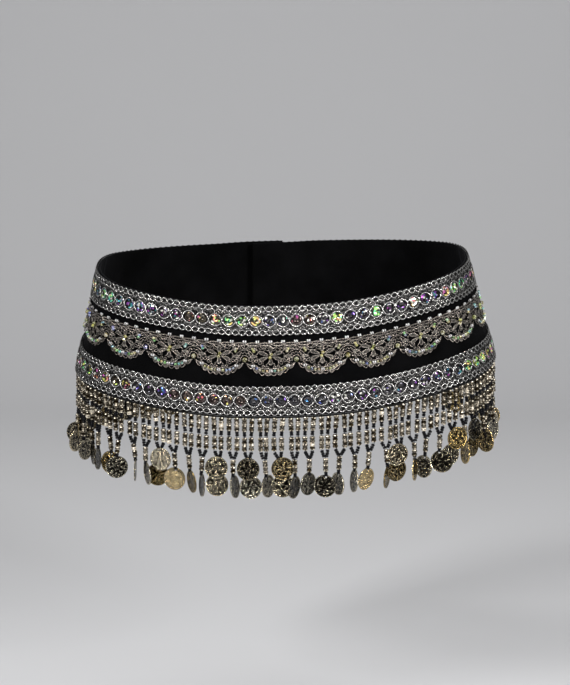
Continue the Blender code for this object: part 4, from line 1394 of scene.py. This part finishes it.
class HIPBELT_OT_lace_beads(bpy.types.Operator):
    """Seed beads and stones sewn on the lace, as turned profiles at chosen places of each scallop"""

    bl_idname = "hipbelt.lace_beads"
    bl_label = "Lace Beads"

    def execute(self, context):
        settings = context.scene.hip_belt
        form = BandForm(settings)
        lace = settings.lace
        row = lace.top_down + lace.valley / 2.0
        scallops = scallop_starts(form, lace, row)
        dice = np.random.default_rng(LACE_BEAD_SEED)
        silver = [(share, TOP_BEADS[1]) for share in TOP_BEADS[0]] + self.on_rim(lace, SILVER_RIM)
        self.silver_beads(settings, form, row, self.on_scallops(scallops, silver), dice)
        gems = Shape()
        # places in a scallop, radius, height, hues, strength of the colour, brightness
        sets = (
            (self.on_rim(lace, RAINBOW_RIM) + list(BESIDE_FLOWERS), 0.0013, 0.0020, RIM_HUES, 0.7, 1.0),
            ([(x, lace.flower_down + y) for x, y in FLOWER_STONES], 0.0015, 0.0022, FLOWER_HUES, 1.0, 1.0),
            ([(0.0, lace.stone_down)], 0.0022, 0.0024, VALLEY_HUES, 1.0, 0.75),
        )
        for local, radius, height, hues, strength, brightness in sets:
            place, down = self.on_scallops(scallops, local)
            roll = dice.uniform(0.0, 1.0, len(place))
            centre, axes = frames_on_band(form, place, lace.top_down + down, STONE_LIFT, row, roll)
            hue = dice.choice(hues, len(place))
            if hues is RIM_HUES:
                from_front = np.abs(place - form.place_at(0.0, row))
                hue = np.where(from_front > FRONT_REACH, dice.choice(SIDE_HUES, len(place)), hue)
            saturation = np.where(hue < YELLOW_END, 0.6, 0.8) * strength
            shade = dice.uniform(0.65, 1.0, len(place)) * brightness
            hue = hue + dice.normal(0.0, STONE_HUE_SPREAD, len(place))
            glow = bright_colour(hue, saturation, shade)
            gems.add(placed(stone_template(radius, height), centre, axes), closed_along=True, glow=glow)
        gems.build("lace_stones", crystal_material(), "metallic_lace", smooth=False)
        return {"FINISHED"}

    def on_rim(self, lace, beads):
        """Shares of a scallop and depths, for beads set in from the rim by one distance."""
        shares, inset = beads
        return [(share, float(rim(lace, share)) - inset) for share in shares]

    def on_scallops(self, scallops, local):
        """Places along the lace and ways down for points given as a share of a scallop and a depth."""
        starts, pitch, whole = scallops
        share, depth = np.array(local).T
        place = (starts[:, None] + share[None, :] * pitch).ravel()
        down = np.broadcast_to(depth, (len(starts), len(depth))).ravel()
        inside = (place > LACE_BEAD_MARGIN) & (place < whole - LACE_BEAD_MARGIN)
        return place[inside], down[inside]

    def silver_beads(self, settings, form, row, places, dice):
        """Pairs of beads that lie with their holes along the band."""
        place, down = places
        centre, axes = frames_on_band(form, place, settings.lace.top_down + down, BEAD_LIFT, row)
        lying = np.stack([axes[:, 1], axes[:, 2], axes[:, 0]], axis=1)
        away = lying[:, 2] * LACE_BEAD_AWAY
        pairs = np.concatenate([centre - away, centre + away])
        # how strongly each lace bead's painted highlights show; no end of these beads gets the four painted
        # dots
        tone = dice.uniform(1.0, 1.3, len(pairs))
        template = bead_template(LACE_BEAD_RADIUS, LACE_BEAD_PITCH, 8, 6)
        points = placed(template, pairs, np.tile(lying, (2, 1, 1)))
        beads = Shape().add(points, closed_along=True, tone=tone, lit_end=tone * 0.0)
        glass = bead_material("lace_silver_bead", settings.finishes.lace_bead, 0.3, PAINTED_BELT_HIGHLIGHT)
        beads.build("lace_silver_beads", glass, "metallic_lace")


# ---- Fringe


def plan_gap(first, second):
    """Shortest distance in plan between two straight segments, given as pairs of points."""
    def from_point(point, segment):
        start, end = segment
        along = end - start
        share = np.clip(np.dot(point - start, along) / np.dot(along, along), 0.0, 1.0)
        return np.linalg.norm(point - start - along * share)

    def side(start, end, point):
        run = end - start
        way = point - start
        return run[0] * way[1] - run[1] * way[0]

    both = ((first, second), (second, first))
    if all(side(*line, ends[0]) * side(*line, ends[1]) <= 0.0 for line, ends in both):
        return 0.0
    return min(from_point(point, line) for line, ends in both for point in ends)


# how often a pair is drawn again while it meets the one before
MOST_DRAWS = 400
# pairs whose knot carries a second coin in front of its drop
HIGH_COINS = (2, 8, 14, 18, 22, 30, 34, 36, 38, 46, 50, 52, 58, 64, 70, 76)


class FringeForm:
    """Where the strands hang, how each pair joins, and how each coin turns."""

    def __init__(self, settings):
        self.fringe = settings.fringe
        self.form = BandForm(settings)
        fringe, form = self.fringe, self.form
        down = settings.band.height
        whole = form.round_length(down)
        strands = 2 * fringe.pairs
        half = fringe.strand_width / 2.0
        places = (np.arange(strands) + 0.5) / strands * whole
        edges = np.stack([places - half, places + half], axis=1)
        turns = form.turns_at(edges, down)
        middle = fringe.strip_face - fringe.strip_depth / 2.0
        points = form.points(turns, down, middle)
        fall = np.array([0.0, 0.0, -settings.band.gap - fringe.strip_height])
        self.roots = points.mean(axis=1) + fall
        across = points[1::2, 1] - points[0::2, 0]
        across[:, 2] = 0.0
        self.along = unit(across)
        self.up = np.array([0.0, 0.0, 1.0])
        self.out = np.cross(self.along, self.up)
        self.centres = (self.roots[0::2] + self.roots[1::2]) / 2.0
        self.places = self.coin_places()

    def coin_plan(self, middle, edge):
        """A coin in plan: its two ends."""
        reach = edge[:2] * self.fringe.coin_radius
        return middle[:2] - reach, middle[:2] + reach

    def pairs_meet(self, first, second):
        """Whether two neighbouring pairs come too close, each in plan as low, drop and high."""
        fringe = self.fringe
        if plan_gap(first[0], second[0]) < fringe.clearance:
            return True
        for (low, drop, _), (_, _, high) in ((first, second), (second, first)):
            if high and plan_gap(high, low) < fringe.clearance:
                return True
            if high and plan_gap(high, drop) < fringe.drop_clearance:
                return True
        return False

    def coin_places(self):
        """Each pair's low coin, extra drop and high coin, drawn so that neighbours don't meet."""
        fringe = self.fringe
        dice = random.Random(fringe.seed)
        places = []
        before = None
        for pair in range(fringe.pairs):
            side = 1.0 if pair % 2 else -1.0
            along, out, centre = self.along[pair], self.out[pair], self.centres[pair]
            most_turn = fringe.turn_under if pair in HIGH_COINS else fringe.turn
            for _ in range(MOST_DRAWS):
                sway = dice.uniform(-fringe.sway_along, fringe.sway_along)
                lean = side * fringe.sway_out + dice.uniform(-fringe.sway_spread, fringe.sway_spread)
                drop = dice.uniform(-fringe.drop_spread, fringe.drop_spread)
                turn = dice.uniform(-most_turn, most_turn)
                high_turn = dice.uniform(-fringe.high_turn, fringe.high_turn)
                offset = along * sway + out * lean
                middle = centre + offset
                knot = centre + offset * fringe.knot_sway
                low = (middle, along * math.cos(turn) + out * math.sin(turn))
                high = None
                plans = (self.coin_plan(*low), (knot[:2], middle[:2]), None)
                if pair in HIGH_COINS:
                    high_edge = along * math.cos(high_turn) + out * math.sin(high_turn)
                    high = (knot + out * fringe.high_out, high_edge)
                    plans = (plans[0], plans[1], self.coin_plan(*high))
                    if plan_gap(plans[2], plans[0]) < fringe.clearance:
                        continue
                if before is None or not self.pairs_meet(before, plans):
                    break
            places.append((low, drop, high))
            before = plans
        return places

    def paths(self):
        """The strands' and drops' lines: where strands join, the knots and the drops' feet."""
        fringe = self.fringe
        middles = np.array([low[0] for low, drop, high in self.places])
        drops = np.array([drop for low, drop, high in self.places])
        sway = middles - self.centres
        joins = self.roots - self.up * fringe.strand
        knots = self.centres + sway * fringe.knot_sway - self.up * (fringe.strand + fringe.merge)
        falls = fringe.strand + fringe.merge + fringe.drop + drops
        feet = self.centres + sway - self.up * falls[:, None]
        return joins, knots, feet


def beads_on(starts, ends, number, pitch):
    """Evenly set beads on straight threads, centred on each: places and ways."""
    way = unit(ends - starts)
    middle = (starts + ends) / 2.0
    steps = (np.arange(number) - (number - 1) / 2.0) * pitch
    centres = middle[:, None, :] + way[:, None, :] * steps[None, :, None]
    ways = np.broadcast_to(way[:, None, :], centres.shape)
    return centres.reshape(-1, 3), ways.reshape(-1, 3)


FRINGE_SEED = 5
# how far up the tape a strand's first bead starts, as a share of its height, and its thread's start
ROOT_UP = 0.55
THREAD_UP = 0.002
# spread of a strand's swing along the band and out from it, and how it grows down the strand
SWING_ALONG = 0.0007
SWING_OUT = 0.0004
SWING_AT_GAP = 0.4
SWING_AT_END = 1.2
# from a knot to each of its two strands, and to its drop's first bead
KNOT_APART = 0.0009
KNOT_DOWN = 0.0006
# beads in a tier of silver, between two tiers or above a coin, and from a strand to its knot
TIER_BEADS = 4
GAP_BEADS = 2
KNOT_BEADS = 3
# the last two black beads are set closer
COIN_PITCH = 0.92
# how far from its belt a fringe bead carries its painted highlight bands
PAINTED_SHOULDER_HIGHLIGHTS = ((0.1, 0.0), (0.17, 1.0), (0.66, 1.0), (0.78, 0.0))
BEAD_WOBBLE = 0.07
BEAD_SHIFT = 0.00008
BEAD_ROLL = 0.25
# which end of a bead carries its painted highlight, in turn, and the spread of how bright it is painted
PAINTED_HIGHLIGHT_ENDS = np.array([-1.0, 0.8, -0.8, 1.0])
PAINTED_HIGHLIGHT_SPREAD = (0.5, 1.5)
# middle and spread of how strongly the beads' painted highlights and reflections show, and the most of it
TONE_SPREAD = (0.09, 0.16)
MOST_TONE = 0.9
# share of beads painted bright all over as a painted highlight, and their tone
STAR_SHARE = 0.035
STAR_TONE = 2.2
THREAD_RADIUS = 0.0003
# a direction that no thread runs along, to turn its sides by
SIDEWAYS = np.array([0.3, 0.9, 0.1])
# the tape: in from the band's ends, below its edge, half height, share of its depth, columns
STRIP_END = 0.001
STRIP_BELOW = 0.0009
STRIP_HALF_HEIGHT = 0.0008
STRIP_SHARE = 0.8
STRIP_COLUMNS = 300


class HIPBELT_OT_fringe_beads(bpy.types.Operator):
    """Silver and black beads on the fringe's threads: turned barrels set along each strand"""

    bl_idname = "hipbelt.fringe_beads"
    bl_label = "Fringe Beads"

    def execute(self, context):
        settings = context.scene.hip_belt
        fringe, finishes = settings.fringe, settings.finishes
        hang = FringeForm(settings)
        joins, knots, feet = hang.paths()
        dice = np.random.default_rng(FRINGE_SEED)
        roots = hang.roots + hang.up * (fringe.strip_height * ROOT_UP)
        along = np.repeat(hang.along, 2, axis=0)
        out = np.repeat(hang.out, 2, axis=0)
        swing = along * dice.normal(0.0, SWING_ALONG, (len(roots), 1))
        swing = swing + out * dice.normal(0.0, SWING_OUT, (len(roots), 1))
        tier = TIER_BEADS * fringe.bead_pitch
        first_end = roots - hang.up * tier + swing
        second_start = first_end - hang.up * (GAP_BEADS * fringe.black_pitch) + swing * SWING_AT_GAP
        second_end = joins + swing * SWING_AT_END
        pair_knots = np.repeat(knots, 2, axis=0)
        sides = np.tile([-1.0, 1.0], len(knots))[:, None] * along * KNOT_APART
        way = unit(feet - knots)
        drop_end = knots + way * (tier + KNOT_DOWN)
        silver = (
            beads_on(roots, first_end, TIER_BEADS, fringe.bead_pitch),
            beads_on(second_start, second_end, TIER_BEADS, fringe.bead_pitch),
            beads_on(knots + way * KNOT_DOWN, drop_end, TIER_BEADS, fringe.bead_pitch),
        )
        black = (
            beads_on(first_end, second_start, GAP_BEADS, fringe.black_pitch),
            beads_on(second_end, pair_knots + sides, KNOT_BEADS, fringe.black_pitch),
            beads_on(drop_end, feet, GAP_BEADS, fringe.black_pitch * COIN_PITCH),
        )
        template = bead_template(fringe.bead_radius, fringe.bead_pitch, 8, 6)
        glass = bead_material("silver_bead", finishes.bead, 0.82, PAINTED_SHOULDER_HIGHLIGHTS)
        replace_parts(self.beads("fringe_silver_beads", silver, template, glass, dice), "coin_fringe")
        template = bead_template(fringe.black_radius, fringe.black_pitch, 7, 5)
        self.beads("fringe_black_beads", black, template, black_bead_material(finishes), dice)
        runs = ((roots + hang.up * THREAD_UP, joins), (joins, pair_knots), (knots, feet))
        self.threads(settings, hang, runs)
        return {"FINISHED"}

    def beads(self, name, groups, template, material, dice):
        """One mesh of beads, each with a small wobble, its own strength of painted highlights, and a corner
        turned to the front.
        """
        centres = np.concatenate([group[0] for group in groups])
        ways = np.concatenate([group[1] for group in groups])
        number = len(ways)
        ways = unit(ways + dice.normal(0.0, BEAD_WOBBLE, ways.shape))
        centres = centres + dice.normal(0.0, BEAD_SHIFT, centres.shape)
        first, second, _ = np.moveaxis(frames_along(ways, np.zeros(number)), 1, 0)
        outward = centres * (1.0, 1.0, 0.0)
        facing = np.arctan2((outward * second).sum(axis=1), (outward * first).sum(axis=1))
        axes = frames_along(ways, facing - math.pi / 4.0 + dice.normal(0.0, BEAD_ROLL, number))
        lit_end = PAINTED_HIGHLIGHT_ENDS[np.arange(number) % len(PAINTED_HIGHLIGHT_ENDS)] * dice.uniform(*PAINTED_HIGHLIGHT_SPREAD, number)
        # how strongly each bead's painted highlights and reflections show, with a few painted bright all over
        tone = np.clip(dice.normal(*TONE_SPREAD, number), 0.0, MOST_TONE)
        tone = np.where(dice.uniform(0.0, 1.0, number) < STAR_SHARE, STAR_TONE, tone)
        points = placed(template, centres, axes)
        shape = Shape().add(points, closed_along=True, tone=tone, lit_end=np.clip(lit_end, -1.0, 1.0))
        return shape.build(name, material, "beads_and_coins")

    def threads(self, settings, hang, runs):
        """Thin black threads through the beads, and the fringe's tape under the band."""
        shape = Shape()
        for start, end in runs:
            path = start[:, None, :] + (end - start)[:, None, :] * np.linspace(0.0, 1.0, 3)[None, :, None]
            shape.add(cord_rings(path, SIDEWAYS, THREAD_RADIUS, THREAD_RADIUS, 4))
        height, fringe = settings.band.height, settings.fringe
        places = np.linspace(STRIP_END, hang.form.round_length(height) - STRIP_END, STRIP_COLUMNS)
        turns = hang.form.turns_at(places, height)
        depth = fringe.strip_depth / 2.0 * STRIP_SHARE
        centre = hang.form.points(turns, height, fringe.strip_face - fringe.strip_depth / 2.0)
        centre = centre - hang.up * STRIP_BELOW
        shape.add(cord_rings(centre, hang.form.outward(turns, height), STRIP_HALF_HEIGHT, depth, 8))
        shape.build("fringe_threads", thread_material(), "beads_and_coins")


# the number of rays on each kind of coin
COIN_RAYS = (5.0, 8.0, 6.0)
COIN_SEED = 77
COIN_THICKNESS = 0.0005
COIN_RIM = 0.00025
HOLE_INSET = 0.0020
# from a drop's foot, and from a knot, to the coin's hole
FOOT_DOWN = 0.0008
KNOT_TO_COIN = 0.0004
# spread of a coin's lean in its plane and of its nod, and the share of gold ones
COIN_LEAN = 0.24
COIN_NOD = 0.06
GOLD_SHARE = 0.42
# where the rim starts and how wide its slope is, and the boss's height and width, as shares
RIM_START, RIM_SLOPE = 0.86, 0.06
BOSS_HEIGHT, BOSS_WIDTH = 0.8, 0.3
# how the circles crowd towards the rim
CROWDING = 0.8
# how gold a gold coin is and a silver one, how bright a coin is, and how much of each kind's face is bright,
# by being worn and by painted reflection
GOLDEN, SILVERY = (0.65, 1.0), (0.0, 0.35)
BRIGHTNESS = (0.35, 1.2)
GOLD_WEAR_AND_SHINE, SILVER_WEAR_AND_SHINE = (0.01, 0.07), (-0.05, 0.03)
# one coin in so many has its face painted brighter as a painted reflection of the lights, counted from this
# one
PAINTED_FLASH_EVERY = (13, 5)
PAINTED_FLASH = 0.1


def coin_grid(radius, hole, hole_up, thickness, rim_height, sides=40, rings=8):
    """A coin: circles that grow from the hole near its edge to its rim, on its front and its back.

    The middle of each circle moves from the hole's to the coin's as its radius grows, and the face
    rises to a rim and a low boss. Returns the points and each one's place on a face of radius 1.
    """
    share = np.linspace(0.0, 1.0, rings) ** CROWDING
    turn = TURN * np.arange(sides) / sides
    circle = hole + (radius - hole) * share
    x = circle[:, None] * np.cos(turn)
    y = circle[:, None] * np.sin(turn) + (hole_up * (1.0 - share))[:, None]
    reach = np.hypot(x, y) / radius
    boss = BOSS_HEIGHT * np.exp(-((reach / BOSS_WIDTH) ** 2))
    raised = smooth_step((reach - RIM_START) / RIM_SLOPE) + boss
    height = thickness / 2.0 + rim_height * raised
    front = np.stack([x, y, height], axis=-1)
    back = np.stack([x, y, -height], axis=-1)[::-1]
    place = np.stack([x / radius, y / radius], axis=-1)
    return np.concatenate([front, back]), np.concatenate([place, place[::-1]])


class HIPBELT_OT_coins(bpy.types.Operator):
    """Stamped coins with a hole, each hung from its drop or knot and turned its own way"""

    bl_idname = "hipbelt.coins"
    bl_label = "Coins"

    def execute(self, context):
        settings = context.scene.hip_belt
        fringe = settings.fringe
        hang = FringeForm(settings)
        tops = [foot - hang.up * FOOT_DOWN for foot in hang.paths()[2]]
        edges = [low[1] for low, _, _ in hang.places]
        high_down = hang.up * (fringe.strand + fringe.merge + KNOT_TO_COIN)
        for _, _, high in hang.places:
            if high:
                tops.append(high[0] - high_down)
                edges.append(high[1])
        tops, edges = np.array(tops), np.array(edges)
        dice = np.random.default_rng(COIN_SEED)
        kinds = dice.integers(0, len(COIN_RAYS), len(edges))
        metal, wear = self.metals(settings.finishes, dice, len(edges))
        axes = self.hang_ways(hang, edges, dice)
        hole_up = fringe.coin_radius - HOLE_INSET
        shape = Shape()
        grid, place = coin_grid(fringe.coin_radius, fringe.coin_hole, hole_up, COIN_THICKNESS, COIN_RIM)
        cover = np.ones((*place.shape[:2], 1))
        for kind, rays in enumerate(COIN_RAYS):
            mine = kinds == kind
            centre = tops[mine] - axes[mine][:, 1] * hole_up
            points = placed(grid, centre, axes[mine])
            face = np.concatenate([place, cover * rays, cover], axis=-1)
            face = np.broadcast_to(face, (*points.shape[:3], 4))
            shape.add(points, closed_along=True, glow=metal[mine], wear=wear[mine], face=face)
        shape.build("fringe_coins", coin_material(), "beads_and_coins")
        return {"FINISHED"}

    def hang_ways(self, hang, edges, dice):
        """Three ways of each coin: its edge, its upright and its face, leant in its plane and nodding."""
        lean = dice.normal(0.0, COIN_LEAN, (len(edges), 1))
        nod = dice.normal(0.0, COIN_NOD, (len(edges), 1))
        facing = np.cross(edges, hang.up)
        up = unit(hang.up + edges * lean + facing * nod)
        facing = unit(facing - up * np.sum(facing * up, axis=1, keepdims=True))
        return np.stack([np.cross(up, facing), up, facing], axis=1)

    def metals(self, finishes, dice, number):
        """A metal for each coin, from silver to old gold, and how much of its face is bright, by being worn
        and by painted reflection.
        """
        silver, gold = np.array(finishes.coin_silver), np.array(finishes.coin_gold)
        golden = dice.uniform(0.0, 1.0, number) < GOLD_SHARE
        share = np.where(golden, dice.uniform(*GOLDEN, number), dice.uniform(*SILVERY, number))[:, None]
        metal = (silver * (1.0 - share) + gold * share) * dice.uniform(*BRIGHTNESS, (number, 1))
        wear = np.where(golden, dice.uniform(*GOLD_WEAR_AND_SHINE, number), dice.uniform(*SILVER_WEAR_AND_SHINE, number))
        # a few coins get their face painted brighter, as a painted reflection of the lights
        every, first = PAINTED_FLASH_EVERY
        wear = np.where(np.arange(number) % every == first, wear + PAINTED_FLASH, wear)
        return np.concatenate([np.clip(metal, 0.0, 1.0), np.ones((number, 1))], axis=1), wear


# ---- Closure and stage


class HIPBELT_OT_closure(bpy.types.Operator):
    """Finishes the hooks and bars that the frame brings"""

    bl_idname = "hipbelt.closure"
    bl_label = "Hooks and Bars"

    def execute(self, context):
        nickel = hook_material(context.scene.hip_belt.finishes)
        for name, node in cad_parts.items():
            if name.startswith("hook_"):
                for slot in node.material_slots:
                    slot.material = nickel
        return {"FINISHED"}


# name, place, width and height in metres, and watts of each light
LIGHTS = (
    ("softbox_left", (-1.3, -1.5, 1.15), 0.4, 0.5, 34.0),
    ("softbox_right", (1.3, -1.5, 0.65), 0.4, 0.5, 34.0),
    ("ceiling", (0.0, 0.5, 2.3), 3.0, 2.0, 36.0),
)
STUDIO_AIR = (0.60, 0.61, 0.63, 1.0)
STUDIO_STRENGTH = 0.10
SENSOR_WIDTH = 36.0
VIEW_REACH = 50.0
# the paper floor: half width and way forward, start of its curve, the curve's radius, top and rows
FLOOR_HALF = 4.0
FLOOR_BACK = 1.6
FLOOR_CURVE = 0.9
FLOOR_TOP = 3.0
FLOOR_ROWS = 24


class HIPBELT_OT_stage(bpy.types.Operator):
    """Camera, a pale floor that curves up behind, and soft studio lights"""

    bl_idname = "hipbelt.stage"
    bl_label = "Stage"

    def execute(self, context):
        settings = context.scene.hip_belt
        stage = settings.stage
        self.camera(context, stage)
        self.floor(settings)
        for light in LIGHTS:
            self.light(context, *light)
        world = context.scene.world or bpy.data.worlds.new("studio")
        context.scene.world = world
        world.use_nodes = True
        background = world.node_tree.nodes["Background"]
        background.inputs["Color"].default_value = STUDIO_AIR
        background.inputs["Strength"].default_value = STUDIO_STRENGTH
        context.scene.view_settings.view_transform = "Standard"
        return {"FINISHED"}

    def camera(self, context, stage):
        """A long lens in front of the hips' axis, looking a little down."""
        data = bpy.data.cameras.new("camera")
        data.lens = stage.lens
        data.sensor_width = SENSOR_WIDTH
        data.clip_end = VIEW_REACH
        camera = bpy.data.objects.new("camera", data)
        camera.location = (0.0, -stage.camera_back, stage.camera_height)
        camera.rotation_euler = (math.pi / 2.0 - stage.camera_pitch, 0.0, 0.0)
        context.scene.collection.objects.link(camera)
        context.scene.camera = camera

    def floor(self, settings):
        """A sheet of paper: level, then a quarter circle up, then upright."""
        down = -settings.stage.floor_down
        turn = np.linspace(0.0, math.pi / 2.0, FLOOR_ROWS)
        far = FLOOR_BACK + FLOOR_CURVE
        y = np.concatenate([[-FLOOR_HALF], FLOOR_BACK + FLOOR_CURVE * np.sin(turn), [far]])
        z = np.concatenate([[down], down + FLOOR_CURVE * (1.0 - np.cos(turn)), [down + FLOOR_TOP]])
        x = np.array([-FLOOR_HALF, FLOOR_HALF])
        points = np.stack(np.broadcast_arrays(x[None, :], y[:, None], z[:, None]), axis=-1)
        corners = 2 * np.arange(len(y) - 1)[:, None] + (0, 1, 3, 2)
        mesh = bpy.data.meshes.new("floor")
        mesh.from_pydata(points.reshape(-1, 3).tolist(), [], corners.tolist())
        mesh.polygons.foreach_set("use_smooth", np.full(len(corners), True))
        mesh.materials.append(floor_material(settings.finishes))
        sheet = bpy.data.objects.new("floor", mesh)
        bpy.context.scene.collection.objects.link(sheet)

    def light(self, context, name, place, wide, high, power):
        """An area light that looks at the belt."""
        data = bpy.data.lights.new(name, "AREA")
        data.shape = "RECTANGLE"
        data.size, data.size_y = wide, high
        data.energy = power
        lamp = bpy.data.objects.new(name, data)
        lamp.location = place
        x, y, z = place
        lamp.rotation_euler = (math.atan2(math.hypot(x, y), z), 0.0, math.atan2(x, -y))
        context.scene.collection.objects.link(lamp)


class HIPBELT_PT_panel(bpy.types.Panel):
    """Buttons for each piece and the sizes they are made from"""

    bl_idname = "HIPBELT_PT_panel"
    bl_label = "Hip Belt"
    bl_space_type = "VIEW_3D"
    bl_region_type = "UI"
    bl_category = "Hip Belt"

    def draw(self, context):
        for operator in OPERATORS:
            self.layout.operator(operator.bl_idname)
        settings = context.scene.hip_belt
        for group_name in HipBeltSettings.__annotations__:
            group = getattr(settings, group_name)
            box = self.layout.box()
            box.label(text=group_name.replace("_", " ").title())
            for property_name in type(group).__annotations__:
                box.prop(group, property_name)


OPERATORS = (
    HIPBELT_OT_stage,
    HIPBELT_OT_velvet_band,
    HIPBELT_OT_braids,
    HIPBELT_OT_sequins,
    HIPBELT_OT_lace,
    HIPBELT_OT_lace_beads,
    HIPBELT_OT_fringe_beads,
    HIPBELT_OT_coins,
    HIPBELT_OT_closure,
)
GROUPS = (BandSizes, LapSizes, BraidSizes, LaceSizes, FringeSizes, Finishes, StageSizes, HipBeltSettings)


def register():
    """Register the settings, the operators and the panel."""
    for part in (*GROUPS, *OPERATORS, HIPBELT_PT_panel):
        bpy.utils.register_class(part)
    bpy.types.Scene.hip_belt = PointerProperty(type=HipBeltSettings)


def unregister():
    """Take back what register() added."""
    del bpy.types.Scene.hip_belt
    for part in reversed((*GROUPS, *OPERATORS, HIPBELT_PT_panel)):
        bpy.utils.unregister_class(part)


def main():
    """Run every operator in order."""
    register()
    for operator in OPERATORS:
        group, name = operator.bl_idname.split(".")
        getattr(getattr(bpy.ops, group), name)()


if __name__ == "__main__":
    main()
